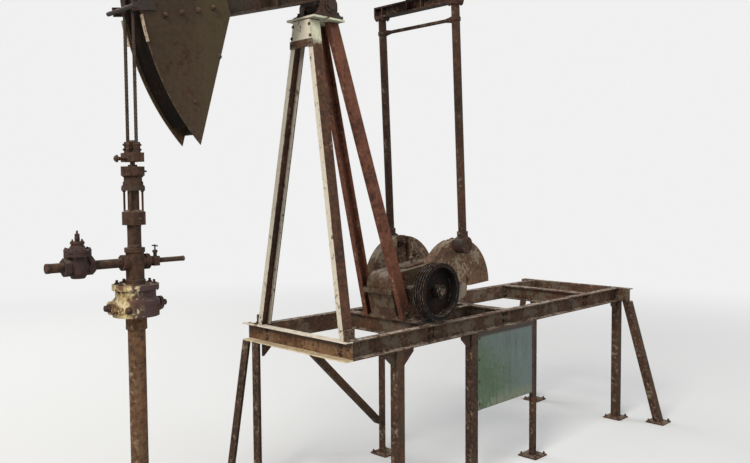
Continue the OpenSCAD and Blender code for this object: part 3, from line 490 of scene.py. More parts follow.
# Gusset plates welded between the flanges of the upright legs and the underside of the rails
gusset, gusset_t, gusset_tip, gusset_toe = 0.13, 0.008, 0.03, 0.02
gusset_outline = [(0, 0), (gusset, 0), (gusset, -gusset_tip), (gusset_toe, -gusset), (0, -gusset)]
gusset_at = ((1.432, 0.552, 1), (1.908, -0.56, -1), (1.992, -0.552, 1), (2.868, -0.56, -1),
             (2.868, 0.552, -1), (2.952, 0.56, 1), (5.528, -0.56, -1), (5.528, 0.552, -1))
gussets = [slab(gusset_outline, gusset_t, (x, y, leg_top), (s, 0, 0), up) for x, y, s in gusset_at]
shape("leg_gussets", gussets, leg_look, "stand", smooth=0)


# BASE FRAME
# Rolled channels with their toes outwards, bolted and welded into a long frame. The front
# crossmember still has cream paint on its flanges over an orange web, and a dark band of painted
# shadow just under its top flange; the rest is dark brown, with pale painted sunlight on the rail tops.
base_z, rail_in, rail_web, rail_toe, rail_h = 1.49, 0.505, 0.009, 0.5785, 0.148
# Pale flakes on the top faces of the rails are painted sunlight
rail_look = aged("rail_rust", "rail_steel", (0.098, 0.073, 0.049), 0.42, rust=(0.052, 0.03, 0.019),
                 pale=(0.38, 0.3, 0.24), pale_side=up, pale_share=0.45, worn=(0.3, 0.23, 0.18), wear=0.7)
front_look = aged("front_beam_rust", "crossmember_steel", (0.17, 0.097, 0.047), 0.5,
                  scale=(0.034, 0.018, 0.011), rust=(0.08, 0.038, 0.019), bloom=(0.18, 0.084, 0.034),
                  worn=(0.55, 0.44, 0.32), streaks=0.55, run_colour=(0.055, 0.028, 0.017),
                  bands=[(up, 1.479, 1.6, 0.004, (0.6, 0.53, 0.43), 0.75),
                         (up, 1.2, 1.352, 0.005, (0.55, 0.44, 0.28), 0.8),
                         # A dark band just under the top flange: painted shadow of the flange
                         (up, 1.44, 1.479, 0.01, (0.075, 0.045, 0.03), 0.6)])
coat(rail_look, "side_rails", "rear_crossmember", "inner_crossmembers", "gearbox_bearers", "post_tie")
coat(front_look, "front_crossmember")
cross_bolt_x, frame_bolt_z, end_bolt_y = (2.375, 2.425, 3.425, 3.475, 4.885, 4.935), (1.385, 1.445), 0.455
frame_bolt_d, front_face, rear_face = 0.02, 1.416, 5.544
through = [(x, s, z) for x in cross_bolt_x for s in (-1, 1) for z in frame_bolt_z]
frame_bolts = [bolts([(x, s * y, z)], (0, way * s, 0), frame_bolt_d)
               for y, way in ((rail_in, -1), (rail_in + rail_web, 1)) for x, s, z in through]
end_bolts = [(y, z) for y in (-end_bolt_y, end_bolt_y) for z in frame_bolt_z]
frame_bolts += [bolts([(x, y, z) for y, z in end_bolts], (s, 0, 0), frame_bolt_d)
                for x, s in ((front_face, -1), (rear_face, 1))]
shape("frame_bolts", frame_bolts, leg_look, "stand")

# Clips in the four corners, flat on the webs of the rails, and a weld down each corner
corner_l, corner_h, corner_t, corner_x, corner_z = 0.08, 0.112, 0.01, (1.426, 5.455), 1.359
clips = [slab(oblong(0, corner_l, 0, corner_h), corner_t, (x, y, corner_z), rearward, up)
         for x in corner_x for y in (corner_t - rail_in, rail_in)]
seam_x, seam_y, seam_low, seam_high = (1.4265, 5.5335), 0.512, base_z - rail_h, base_z - 0.002
seam = [(rail_toe, seam_low), (seam_y, seam_low), (seam_y, seam_high), (rail_toe, seam_high)]
seams = [bead([(x, s * y, z) for y, z in seam], 0.004, 31) for x in seam_x for s in (-1, 1)]
shape("frame_clips", clips + seams, rail_look, "stand", smooth=0)


# GUARD PANEL
# A sheet of blue-green painted steel folded into a shallow pan, hung between the middle leg and a
# light post. It is dented and greyer towards the rear; the dark bands along its top and rear edges
# are painted shade, the top one the shadow of the rail above.
panel_x0, panel_x1, panel_z0, panel_z1, panel_y = 2.95, 3.835, 0.64, 1.34, -0.58
panel_d, panel_t, fold = 0.04, 0.004, 0.01
panel_look = aged("panel_paint", "panel_paint", (0.07, 0.108, 0.062), 0.86, bloom=(0.17, 0.075, 0.034),
                  streaks=0.5, patch=3.5, run_colour=(0.05, 0.062, 0.04), grain=70.0, rough=0.62,
                  relief=0.0006, worn=(0.16, 0.12, 0.08), dust=0.5,
                  bands=[((1, 0, 0.9), panel_x0 + 1.24, panel_x1 + 3, 0.3, (0.1, 0.128, 0.12), 1.0),
                         (up, panel_z0 - 0.2, panel_z0 + 0.1, 0.05, (0.135, 0.152, 0.105), 0.5),
                         # Dark bands along the top and rear edges: painted shade, the top one the rail's
                         # shadow
                         (up, panel_z1 - 0.04, panel_z1 + 1, 0.012, (0.036, 0.024, 0.019), 0.85),
                         (rearward, panel_x1 - 0.03, panel_x1 + 1, 0.008, (0.034, 0.022, 0.017), 0.85)])
# Dents: place along the panel, height, half width, half height, depth
dents = ((3.1, 0.86, 0.11, 0.13, 0.016), (3.52, 1.12, 0.16, 0.1, 0.013), (3.4, 0.8, 0.09, 0.07, 0.011),
         (3.7, 0.92, 0.05, 0.16, 0.009), (3.21, 1.2, 0.07, 0.06, 0.008))
held_edge, wave = 0.05, 0.003


def folded_sheet(along, across):
    """A sheet bent at its top and bottom edges. Its profile in Y and Z is two flanges and a face with
    round folds; the face is pushed inwards by dents, each a bell curve, and by one long wave."""
    turn = np.linspace(0, math.pi / 2, 6)
    z_top, z_low, y_in = panel_z1 - fold, panel_z0 + fold, panel_y + fold
    outer = np.concatenate([
        [(panel_y + panel_d, panel_z1)],
        np.column_stack([y_in - fold * np.sin(turn), z_top + fold * np.cos(turn)]),
        np.column_stack([np.full(across, panel_y), np.linspace(z_top, z_low, across + 2)[1:-1]]),
        np.column_stack([y_in - fold * np.cos(turn), z_low - fold * np.sin(turn)]),
        [(panel_y + panel_d, panel_z0)]])
    ahead = np.gradient(outer, axis=0)
    inward = np.column_stack([-ahead[:, 1], ahead[:, 0]]) / np.linalg.norm(ahead, axis=1)[:, None]
    loop = np.concatenate([outer, (outer + panel_t * inward)[::-1]])
    x = np.linspace(panel_x0, panel_x1, along)[:, None]
    y, z = (np.broadcast_to(column, (along, len(loop))) for column in loop.T)
    push = wave * (1 + np.sin(5.3 * x + 4.1 * z))
    for dent_x, dent_z, wide, high, deep in dents:
        push = push + deep * np.exp(-((x - dent_x) / wide) ** 2 - ((z - dent_z) / high) ** 2)
    for from_edge in (z_top - z, z - z_low, x - panel_x0, panel_x1 - x):
        push = push * np.clip(from_edge / held_edge, 0, 1)
    points = np.stack([np.broadcast_to(x, z.shape), y + push, z], -1)
    return points, tube_faces(1, along, len(loop))


side_w, side_h = panel_d - panel_t, panel_z1 - panel_z0 - 2 * panel_t
side_folds = [slab(oblong(0, side_w, 0, side_h), panel_t, (x, panel_y + panel_t, panel_z0 + panel_t),
                   (0, 1, 0), up) for x in (panel_x0, panel_x1 - panel_t)]
shape("dented_panel", [folded_sheet(110, 64), *side_folds], panel_look, "stand", smooth=50,
      hide=["guard_panel"])
screw_in, screw_z = 0.022, (0.7, 0.9, 1.1, 1.29)
panel_screws = [bolts([(x, panel_y + 0.001, z) for z in screw_z], nearward, 0.01, 0.8)
                for x in (panel_x0 + screw_in, panel_x1 - screw_in)]
shape("panel_screws", panel_screws, foot_look, "stand")


# POST
# Four channels lean together under the saddle. The front pair shows cream paint only on the faces
# towards the light, which makes it painted sunlight; the rear pair is down to red rust, with paler
# painted sunlight on the same faces. A pale band round the top is painted sunlight too. Tie, gusset
# and cap are bolted and welded on.
# Pale flakes on the faces towards -X of both pairs are painted sunlight
post_look = aged("post_paint", "post_paint", (0.17, 0.12, 0.08), 0.22, pale=(0.545, 0.487, 0.385),
                 pale_share=0.8, streaks=0.4, worn=(0.42, 0.34, 0.25),
                 # The pale band round the top of the post is painted sunlight on the cap
                 bands=[(up, 3.78, 4.2, 0.03, (0.5, 0.5, 0.36), 0.7)])
rear_post_look = aged("rear_post_rust", "post_rust", (0.125, 0.046, 0.026), 0.45,
                      scale=(0.026, 0.012, 0.009), rust=(0.08, 0.029, 0.017), bloom=(0.17, 0.062, 0.028),
                      pale=(0.26, 0.17, 0.12), pale_share=0.2, worn=(0.24, 0.13, 0.08))
coat(post_look, "post_front_legs", "post_cap")
coat(rear_post_look, "post_rear_legs")
front_foot, rear_foot = (1.43, 0.53), (2.4, 0.25)
post_feet = [(x, s * y, s) for x, y in (front_foot, rear_foot) for s in (-1, 1)]
clip_l, clip_t, clip_out, clip_up, clip_gap = 0.11, 0.008, 0.046, 0.085, 0.0005
foot_angle = [(0, 0), (clip_out, 0), (clip_out, clip_t), (clip_t, clip_t), (clip_t, clip_up), (0, clip_up)]
foot_clips = [slab(foot_angle, clip_l, (x - s * clip_l / 2, y + s * clip_gap, base_z), (0, s, 0), up)
              for x, y, s in post_feet]
shape("post_foot_clips", foot_clips, rail_look, "stand", smooth=0)
post_bolts = [bolts([(x + dx, y + s * (clip_gap + clip_t), base_z + 0.058) for dx in (-0.032, 0.032)],
                    (0, s, 0), 0.014) for x, y, s in post_feet]
post_bolts += [bolts([(x + dx, y + s * 0.03, base_z + clip_t) for dx in (-0.036, 0.036)], up, 0.014)
               for x, y, s in post_feet]
lean, front_half = 0.076 / 2.454, 0.0503


def on_post(y, z, out=0.0):
    """A point on the front of the front legs at height z: the face leans back by `lean`."""
    return front_foot[0] + lean * (z - base_z) - front_half - out, y, z


tie_bolts, gusset_bolts = ((0.112, 3.755), (0.08, 3.755)), ((0.112, 3.81), (0.098, 3.9))
post_bolts += [bolts([on_post(s * y, z, out) for y, z in row], (-1, 0, lean), 0.012)
               for row, out in ((tie_bolts, 0.01), (gusset_bolts, 0.008)) for s in (-1, 1)]
shape("post_bolts", post_bolts, foot_look, "stand")
cap_edge, cap_weld_y, leg_weld_x, leg_weld_y, leg_weld_half = 3.942, 0.093, (1.506, 1.701), 0.097, 0.05
cap_welds = [bead([on_post(end * cap_weld_y, cap_edge, 0.009) for end in (-1, 1)], 0.004, 51)]
cap_welds += [bead([(x + end * leg_weld_half, s * leg_weld_y, cap_edge) for end in (-1, 1)], 0.005, 52)
              for x in leg_weld_x for s in (-1, 1)]
shape("cap_welds", cap_welds, rail_look, "stand", smooth=60)


# SADDLE BEARINGS
# Two cast iron pillow blocks on the cap plate. A cover ring held by screws keeps the dirt out at
# each end, the blocks are bolted down through their feet, and each has a grease nipple on top.
iron_look = aged("dark_iron", "iron_dark", (0.024, 0.019, 0.016), 0.5, rust=(0.03, 0.016, 0.012),
                 bloom=(0.085, 0.037, 0.02), rough=0.7, relief=0.0016, worn=(0.15, 0.11, 0.09))
bolt_look = foot_look[0], "iron_dark"
coat(iron_look, "saddle_bearings", "beam_saddle", "tail_bearing", "wrist_bearings", "cable_keeper",
     "sheave_pedestal")
saddle_x, saddle_z, block_y, block_end = 1.626, 4.06, 0.1205, 0.1505
block_top, block_foot_z, block_bolt_x, sunk = 0.0695, 3.988, 0.102, 0.0005


def ring(inner, outer, thick, sides, at, along):
    """A flat ring with small bevels: its outline runs up the outside and down the bore."""
    b = min(0.25 * thick, 0.002)
    outline = [(inner, 0), (outer, 0), (outer, thick - b), (outer - b, thick), (inner + b, thick),
               (inner, thick - b), (inner, 0)]
    return spun(outline, sides, at, along, caps=False)


def circle_of(centre, along, radius, count, start=0.0):
    """Equally spaced places on a circle square to `along`."""
    _, first, second = axes_across(along)
    return np.asarray(centre, float) + radius * circle(full_turn(count, start), first, second)


def cover(inner, outer, thick, sides, at, along, screw_r, count, size, start=0.0, deep=0.0, thread=0.8):
    """A cover ring, and its screws on a circle of radius screw_r, let in by `deep`, as two parts."""
    face = np.asarray(at, float) + (thick - deep) * np.asarray(along, float)
    screws = bolts(circle_of(face, along, screw_r, count, start), along, size, thread)
    return ring(inner, outer, thick, sides, at, along), screws


nipple = [(0.009, 0.0), (0.009, 0.007), (0.006, 0.009), (0.006, 0.016), (0.0075, 0.019), (0.005, 0.024)]
covers, saddle_bolts = [], []
for s in (-1, 1):
    disc, screws = cover(0.0412, 0.062, 0.008, 48, (saddle_x, s * block_end, saddle_z), (0, s, 0),
                         0.0525, 6, 0.008, deep=sunk)
    covers += [disc, turned(nipple, 16, (saddle_x, s * block_y, saddle_z + block_top), up)]
    down_bolts = [(saddle_x + end * block_bolt_x, s * block_y, block_foot_z) for end in (-1, 1)]
    saddle_bolts += [screws, bolts(down_bolts, up, 0.02, 1.6)]
shape("saddle_covers", covers, iron_look, "stand")
shape("saddle_bolts", saddle_bolts, bolt_look, "stand")


# GEAR REDUCER
# A cast housing in two halves, bolted together along a flange level with the crankshaft, with ribs
# down to its foot. The cover has a hatch with a breather; bearing covers close the shaft holes.
reducer_look = aged("reducer_paint", "reducer_paint", (0.092, 0.07, 0.042), 0.5, rust=(0.05, 0.026, 0.016),
                    bloom=(0.12, 0.052, 0.025), rough=0.72, dust=0.6, worn=(0.2, 0.15, 0.1), relief=0.0016)
coat(reducer_look, "gearbox_case", "gearbox_cover")
crank_x, crank_z, input_x, input_z = 2.93, 1.73, 2.42, 1.765
box_half, box_over, box_boss, flange_t, flange_out = 0.15, 0.174, 0.194, 0.018, 0.012
foot_y, foot_top, cover_t, input_bore, blind_bore = 0.162, 1.51, 0.01, 0.0265, 0.002
foot_x, end_x = (2.385, 2.585, 2.8, 2.99, 3.145), 3.167
side_x = (2.285, 2.335, 2.505, 2.59, 2.675, 2.76, 3.07, 3.15)
flange_rows = [[(x, s * (box_half + flange_out), crank_z + flange_t) for x in side_x for s in (-1, 1)],
               [(end_x, y, crank_z + flange_t) for y in (-0.1, 0.0, 0.1)]]
reducer_bolts = [bolts([(x, s * foot_y, foot_top) for x in foot_x for s in (-1, 1)], up, 0.014, 1.4)]
for row in flange_rows:
    below = np.array(row) - (0, 0, 2 * flange_t)
    reducer_bolts += [bolts(row, up, 0.012, 1.3), bolts(below, down, 0.012, 1.6)]
covers = []
for s, bore in ((-1, input_bore), (1, blind_bore)):
    out = (0, s, 0)
    pair = (cover(0.0575, 0.1, cover_t, 64, (crank_x, s * box_boss, crank_z), out, 0.086, 8, 0.01, 0.39),
            cover(bore, 0.052, cover_t, 48, (input_x, s * box_over, input_z), out, 0.043, 6, 0.008))
    covers += [disc for disc, _ in pair]
    reducer_bolts += [screws for _, screws in pair]

# The hatch slopes with the cover; its screws stand square to it
hatch_up, hatch_on = np.array((-0.1168, 0.0, 0.9932)), np.array((0.9932, 0.0, 0.1168))
hatch_t, hatch_a, hatch_b, vent_a = 0.014, 0.115, 0.078, 0.05
hatch = np.array((2.675, 0.0, 1.925)) + hatch_t * hatch_up
hatch_screws = [hatch + a * hatch_on + (0, s * hatch_b, 0) for a in (-hatch_a, 0.0, hatch_a) for s in (-1, 1)]
reducer_bolts.append(bolts(hatch_screws, hatch_up, 0.01, 0.8))
breather = [(0.016, 0.0), (0.016, 0.012), (0.01, 0.014), (0.01, 0.034), (0.024, 0.036), (0.026, 0.046),
            (0.02, 0.058), (0.0, 0.06)]
plug = [(0.02, 0.0), (0.02, 0.006), (0.013, 0.007), (0.013, 0.02), (0.011, 0.022)]
drain, level_plugs = (3.155, -0.06, 1.545), [(2.69, -box_half, z) for z in (1.6, 1.69)]
covers += [turned(breather, 32, hatch + vent_a * hatch_on, hatch_up), turned(plug, 24, drain, rearward),
           turned(plug, 24, level_plugs, nearward)]


def hoop(centre, normal, radius, thick, steps=40, sides=10):
    """An eye of round bar: a circle of radius `thick` carried round a circle of the given radius."""
    normal, first, second = axes_across(normal)
    out = circle(np.linspace(0, 2 * math.pi, steps + 1)[:, None], first, second)
    points = np.asarray(centre, float) + radius * out + thick * circle(full_turn(sides), out, normal)
    return points, tube_faces(1, steps + 1, sides, caps=False)


eye_x, eye_y, eye_z = 2.905, 0.09, 1.972
covers += [hoop((eye_x, s * eye_y, eye_z), (0, 1, 0), 0.022, 0.008) for s in (-1, 1)]
shape("reducer_covers", covers, reducer_look, "stand", smooth=35)
shape("reducer_bolts", reducer_bolts, bolt_look, "stand")


# SHEAVE
# A cast iron belt sheave with a dished web, clamped on the input shaft by a split bushing with
# three screws. Its outboard bearing stands on the crossmember under the post.
sheave_look = aged("sheave_iron", "iron_dark", (0.0075, 0.006, 0.0055), 0.6, scale=(0.0045, 0.0035, 0.003),
                   rust=(0.013, 0.0075, 0.0055), bloom=(0.042, 0.019, 0.012), shine=0.08,
                   worn=(0.4, 0.35, 0.29), wear=0.75, dust=0.3)
shaft_look = aged("worn_shaft", "machined_steel", (0.15, 0.135, 0.115), 0.5, rust=(0.06, 0.032, 0.02),
                  bloom=(0.13, 0.06, 0.03), rough=0.5, metal=0.6, relief=0.0004, dust=0.2,
                  worn=(0.42, 0.38, 0.33))
coat(sheave_look, "belt_sheave")
coat(shaft_look, "sheave_shaft", "crankshaft", "polished_rod")
hub_y, pedestal_face_y, pedestal_y, sole_t = -0.605, -0.468, -0.44, 0.01
key_at = (input_x, hub_y - 0.001, input_z + 0.0262)
bushing = [*cover(0.0262, 0.05, 0.007, 48, (input_x, hub_y, input_z), nearward, 0.04, 3, 0.01, 0.4),
           slab(oblong(-0.006, 0.006, -0.004, 0.004), 0.012, key_at, rearward, up)]
shape("sheave_bushing", bushing, sheave_look, "sheave")
sole, sole_at = oblong(-0.075, 0.075, -0.04, 0.04), (input_x - 0.01, pedestal_y, base_z)
sole_bolts = [(input_x + dx, pedestal_y, base_z + sole_t) for dx in (-0.068, 0.048)]
pedestal_bits = [ring(input_bore, 0.035, 0.006, 40, (input_x, pedestal_face_y, input_z), nearward),
                 turned(nipple, 16, (input_x, pedestal_y, input_z + 0.0355), up),
                 slab(sole, sole_t, sole_at, rearward, (0, 1, 0)), bolts(sole_bolts, up, 0.014)]
shape("pedestal_foot", pedestal_bits, iron_look, "stand")


# CRANKS AND WEIGHTS
# Two cast cranks keyed on the crankshaft. Each has holes for shorter strokes and carries two fan
# shaped weights, drawn against its edges by studs whose nuts show on the inner side.
weight_look = aged("weight_paint", "weight_iron", (0.19, 0.148, 0.098), 0.42, rust=(0.08, 0.047, 0.028),
                   bloom=(0.16, 0.078, 0.04), patch=4.0, worn=(0.28, 0.22, 0.15), dust=0.6, relief=0.0018)
coat(weight_look, "cranks", "crank_weights")
leaning["crank"] = (crank_x, 0.0, crank_z), 2.8184
crank_r, crank_in, crank_out, weight_in = 0.39, 0.3175, 0.3835, 0.2875
hole_r, stud_r, stud_turns = (crank_r - 0.085, crank_r - 0.17), 0.3, np.radians((-66, -33, 33, 66))
seat, rim_t, key_t = 0.0002, 0.0016, 0.002
details, nuts = [], []
for s in (-1, 1):
    outside, inside = (0, s, 0), (0, -s, 0)
    for r in hole_r:
        details += [ring(0.02, 0.036, rim_t, 40, (0, s * (crank_out - seat), r), outside),
                    ring(0.02, 0.036, 0.003, 40, (0, s * (crank_in + seat), r), inside)]
    details.append(ring(0.0565, 0.07, rim_t, 64, (0, s * (crank_out - seat), 0), outside))
    nuts.append(bolts([(0, s * crank_in, crank_r)], inside, 0.052, 1.2))
    for a in stud_turns:
        x, z = stud_r * math.sin(a), stud_r * math.cos(a)
        nuts.append(bolts([(x, s * weight_in, z)], inside, 0.026, 1.4))
        details.append(ring(0.0, 0.026, rim_t, 6, (x, s * (crank_out - seat), z), outside))
keys = [slab(oblong(-0.01, 0.01, 0.046, 0.062), key_t, (0, y, 0), rearward, up)
        for y in (-crank_out, crank_out + key_t)]
shape("crank_details", details, weight_look, "crank")
shape("crank_nuts", nuts, bolt_look, "crank")
shape("crank_keys", keys, shaft_look, "crank", smooth=0)


# PITMANS AND EQUALIZER
# Two steel tubes hang from a cross beam under the tail of the walking beam and run down to the
# wrist bearings. Their top flanges are bolted up under the cross beam; a rod ties them together.
# Pale flakes on the pitmans' faces towards -X are painted sunlight
pitman_look = aged("pitman_rust", "leg_steel", (0.036, 0.023, 0.014), 0.35, rust=(0.028, 0.014, 0.009),
                   bloom=(0.075, 0.032, 0.015), pale=(0.15, 0.115, 0.08), pale_share=0.22)
coat(pitman_look, "pitmans", "tie_rod", "equalizer")
leaning["pitman"] = (2.798739, 0.0, 4.396277), 2.8184
pitman_y, pitman_l, wrist_y, tail_pin_y = 0.44, 2.279507, 0.4895, 0.1
flange_low, flange_pair, flange_half, tie_low, pinch_up, pinch_x = -0.189, 0.03, 0.036, -0.315, 0.101, 0.0475
tie_collar = [(0.0415, 0.0), (0.0435, 0.006), (0.0435, 0.03), (0.0415, 0.036)]
tie_boss = [(0.026, 0.0), (0.026, 0.008), (0.018, 0.06)]
collars, pitman_bolts = [], []
for s in (-1, 1):
    outside, inside = (0, s, 0), (0, -s, 0)
    disc, screws = cover(0.024, 0.07, 0.003, 64, (0, s * wrist_y, -pitman_l), outside, 0.058, 6, 0.006,
                         0.5, sunk, 0.7)
    collars += [turned(tie_collar, 40, (0, s * pitman_y, tie_low - 0.018), up),
                turned(tie_boss, 32, (0, s * (pitman_y - 0.043), tie_low), inside), disc]
    under = np.array([(dx, s * pitman_y + dy, flange_low) for dx in (-flange_half, flange_half)
                      for dy in (-flange_half, flange_half)])
    pitman_bolts += [bolts(under, down, 0.014), bolts(under + (0, 0, flange_pair), up, 0.014, 1.4), screws,
                     bolts([(0, s * (pitman_y - 0.0425), tie_low)], inside, 0.026, 0.7),
                     bolts([(0, s * tail_pin_y, 0)], outside, 0.036)]
    pitman_bolts += [bolts([(end * pinch_x, s * pitman_y, pinch_up - pitman_l)], (end, 0, 0), 0.016, 0.8)
                     for end in (-1, 1)]
weld_x, weld_y, weld_z = 0.046, 0.4948, (-0.172, -0.087)
equalizer_welds = [bead([(s * weld_x, end * weld_y, z) for z in weld_z], 0.004, 61)
                   for s in (-1, 1) for end in (-1, 1)]
shape("pitman_fittings", collars, pitman_look, "pitman")
shape("pitman_bolts", pitman_bolts, bolt_look, "pitman")
shape("equalizer_welds", equalizer_welds, pitman_look, "pitman", smooth=60)


# WALKING BEAM AND HEAD
# A wide flange beam rocks on the saddle. Its head is two side plates with a curved face plate
# between them, clasped to the beam and bolted through. Olive brown paint with maroon runs is left.
beam_look = aged("beam_paint", "beam_paint", (0.044, 0.031, 0.019), 0.5, rust=(0.036, 0.019, 0.012),
                 bloom=(0.085, 0.037, 0.018))
# The face plate is near black all over: painted shade, for a face turned away from the light
face_shade_look = aged("face_painted_shade", "beam_paint", (0.0055, 0.004, 0.003), 0.5, scale=(0.003, 0.002, 0.0016),
                 rust=(0.008, 0.0045, 0.003), bloom=(0.024, 0.012, 0.007), rough=0.9, dust=0.0, shine=0.05)
head_look = aged("head_paint", "head_paint", (0.049, 0.032, 0.0185), 0.74, scale=(0.02, 0.012, 0.008),
                 rust=(0.04, 0.022, 0.014), bloom=(0.066, 0.032, 0.018), streaks=0.85,
                 run_colour=(0.084, 0.045, 0.04), patch=3.2, shine=0.1, worn=(0.38, 0.29, 0.19), wear=0.8,
                 bands=[(rearward, 0.46, 2.0, 0.05, (0.053, 0.039, 0.02), 0.85)])
guide_look = aged("guide_paint", "head_paint", (0.36, 0.28, 0.2), 0.7, worn=(0.45, 0.36, 0.27))
coat(beam_look, "walking_beam", "horsehead_ribs")
coat(face_shade_look, "horsehead_face")
coat(head_look, "horsehead_plates")
beam_lean, front_arm, rear_arm, head_y, face_r = 16.0, 1.626, 1.22, 0.122, 1.6125
leaning["beam"] = (saddle_x, 0.0, saddle_z), beam_lean
guide_r, guide_top, anchor_r, anchor_top, anchor_half, anchor_up = 1.6325, 1.6385, 1.6135, 1.644, 0.096, 22.4
guide_low, guide_high, anchor_low, anchor_high, anchor_y = -1.0, 5.0, 21.95, 22.85, (0.028, 0.085)
face_low, face_high, face_half, flange_top, flange_under = -22.4, 22.9, 0.1113, 0.064, 0.026
clasp_u, clasp_w, brace_at = (-1.46, -1.33, -1.2, -1.07), (0.115, 0.285), ((-1.12, -0.21), (-1.4, -0.47))
# Bolts of the saddle and the tail bearing: place along the beam, and half their spacing both ways
beam_seats = ((0.0, 0.085, 0.058), (rear_arm, 0.075, 0.052))


def on_arc(radius, low, high, count, y):
    """Points of the head on an arc round the saddle, from low to high degrees above the beam axis."""
    t = np.radians(np.linspace(low, high, count))
    return np.column_stack([-radius * np.cos(t), np.full(count, y), radius * np.sin(t)])


def curved_bar(inner, outer, y0, y1, low, high, count):
    """A flat bar bent round the saddle: a rectangle in radius and Y, carried along an arc."""
    edges = [on_arc(r, low, high, count, y) for r, y in ((inner, y0), (inner, y1), (outer, y1), (outer, y0))]
    return np.stack(edges, 1), tube_faces(1, count, 4)


head_bolts, face_welds, guides, beam_bolts = [], [], [], []
for s in (-1, 1):
    through = [(u, s * head_y, w) for u in clasp_u for w in clasp_w]
    brace = [(u, s * head_y, w) for u, w in brace_at]
    head_bolts += [bolts(through, (0, s, 0), 0.02), bolts(brace, (0, s, 0), 0.016)]
    face_welds.append(bead(on_arc(face_r, face_low, face_high, 40, s * face_half), 0.0035, 71))
    guides.append(curved_bar(guide_r, guide_top, s * (head_y - 0.01), s * (head_y + 0.02),
                             guide_low, guide_high, 24))
    for u, du, y in beam_seats:
        for w, along, reach in ((flange_top, up, 1.0), (flange_under, down, 1.3)):
            beam_bolts.append(bolts([(u + end * du, s * y, w) for end in (-1, 1)], along, 0.018, reach))
anchor = [curved_bar(anchor_r, anchor_top, -anchor_half, anchor_half, anchor_low, anchor_high, 3)]
for y in sorted(s * y for y in anchor_y for s in (-1, 1)):
    spot = on_arc(anchor_top, anchor_up, anchor_up, 1, y)
    anchor.append(bolts(spot, spot * (1, 0, 1), 0.011))
rib_u, rib_w, rib_half, web_half = (-0.4665, 0.0, rear_arm), (0.066, 0.334), 0.007, 0.006
beam_welds = [bead([(u + end * rib_half, s * web_half, w) for w in rib_w], 0.004, 81)
              for u in rib_u for end in (-1, 1) for s in (-1, 1)]
shape("head_bolts", head_bolts, bolt_look, "beam")
shape("head_welds", face_welds, head_look, "beam", smooth=60)
shape("rope_guides", guides, guide_look, "beam")
shape("rope_anchor", anchor, iron_look, "beam")
shape("beam_bolts", beam_bolts, bolt_look, "beam")
shape("beam_welds", beam_welds, beam_look, "beam", smooth=60)


# ROPES
# Two wire ropes of six strands hang from an anchor bar at the top of the head, lie on its face and
# run straight down into sockets on the carrier bar. They are taut.
rope_look = aged("rope_wire", "rope_wire", (0.05, 0.04, 0.033), 0.5, scale=(0.014, 0.011, 0.009),
                 rust=(0.04, 0.023, 0.016), bloom=(0.11, 0.055, 0.03), metal=0.25, rough=0.6,
                 relief=0.0003, dust=0.0, wear=0.0)
rope_y, rope_pitch, strand_at, strand_r, strand_count = 0.057, 0.15, 0.0078, 0.0042, 6
socket_top, tangent_z, rope_end, shortest = 2.932, 4.06, 22.5, 0.0554


def rope(line, turn, run):
    """Six strands wound round a line and a core that fills the middle. Each strand is a tube whose
    centre stands strand_at away from the line, at an angle that grows with the run along it, one
    turn in every rope_pitch. At each point the line has turned by `turn` from the upright."""
    first = np.column_stack([np.cos(turn), np.zeros_like(turn), -np.sin(turn)])
    second = np.broadcast_to((0.0, 1.0, 0.0), first.shape)
    wound = 2 * math.pi * (run[None] / rope_pitch + np.arange(strand_count)[:, None] / strand_count)
    centre = line + strand_at * circle(wound, first, second)
    around = circle(full_turn(6), first[:, None], second[:, None])
    wires = centre[:, :, None] + strand_r * around, tube_faces(strand_count, len(line), 6)
    return together(wires, (line[:, None] + strand_at * around, tube_faces(1, len(line), 6)))


z = np.linspace(socket_top, tangent_z, 150)
straight = [rope(np.column_stack([0 * z, np.full_like(z, s * rope_y), z]), 0 * z, z - tangent_z)
            for s in (-1, 1)]
ropes = shape("wire_ropes", straight, rope_look, "rod", smooth=50, hide=["bridle_cables"])
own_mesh(ropes)
t = np.radians(np.linspace(beam_lean, rope_end, 28))
wrapped = [rope(on_arc(front_arm, beam_lean, rope_end, 28, s * rope_y), t, front_arm * (t - t[0]))
           for s in (-1, 1)]
shape("wrapped_ropes", wrapped, rope_look, "beam", smooth=50, hide=["wrapped_cables"])


# ROD HANGER
# A forged carrier bar held up by two rope sockets, with a latch bolt at its open side. A two part
# clamp grips the polished rod above it and rests on it.
fitting_look = aged("fitting_rust", "fitting_iron", (0.043, 0.026, 0.017), 0.35, rust=(0.032, 0.017, 0.011),
                    bloom=(0.09, 0.039, 0.019))
coat(fitting_look, "carrier_bar", "rod_clamp", "pumping_tee", "riser", "stuffing_box", "flowline_nipples",
     "needle_valve")
carrier_top, socket_collar, latch_z, clamp_bolt_z = 2.872, 2.922, 2.832, (2.892, 2.924)
hanger = [bolts([(-0.108, 0, latch_z)], (-1, 0, 0), 0.022, 0.9)]
for s in (-1, 1):
    clamp_bolts = [(s * 0.04, y, z) for y in (-0.024, 0.024) for z in clamp_bolt_z]
    hanger += [ring(0.0125, 0.0235, 0.01, 32, (0, s * rope_y, socket_collar), up),
               ring(0.0198, 0.026, 0.012, 32, (0, s * rope_y, carrier_top), up),
               bolts(clamp_bolts, (s, 0, 0), 0.011, 1.2)]
shape("hanger_fittings", hanger, fitting_look, "rod")


# WELLHEAD
# Casing out of the ground with a collar, a casing head with a bolted flange, a tee, a short riser
# and a stuffing box whose gland is drawn down by studs. All are screwed or bolted together.
# Pale flakes on the casing's faces towards -X are painted sunlight
casing_look = aged("casing_rust", "casing_rust", (0.1, 0.062, 0.032), 0.35, scale=(0.024, 0.014, 0.009),
                   rust=(0.068, 0.036, 0.019), bloom=(0.16, 0.078, 0.034), pale=(0.26, 0.19, 0.115),
                   pale_share=0.3)
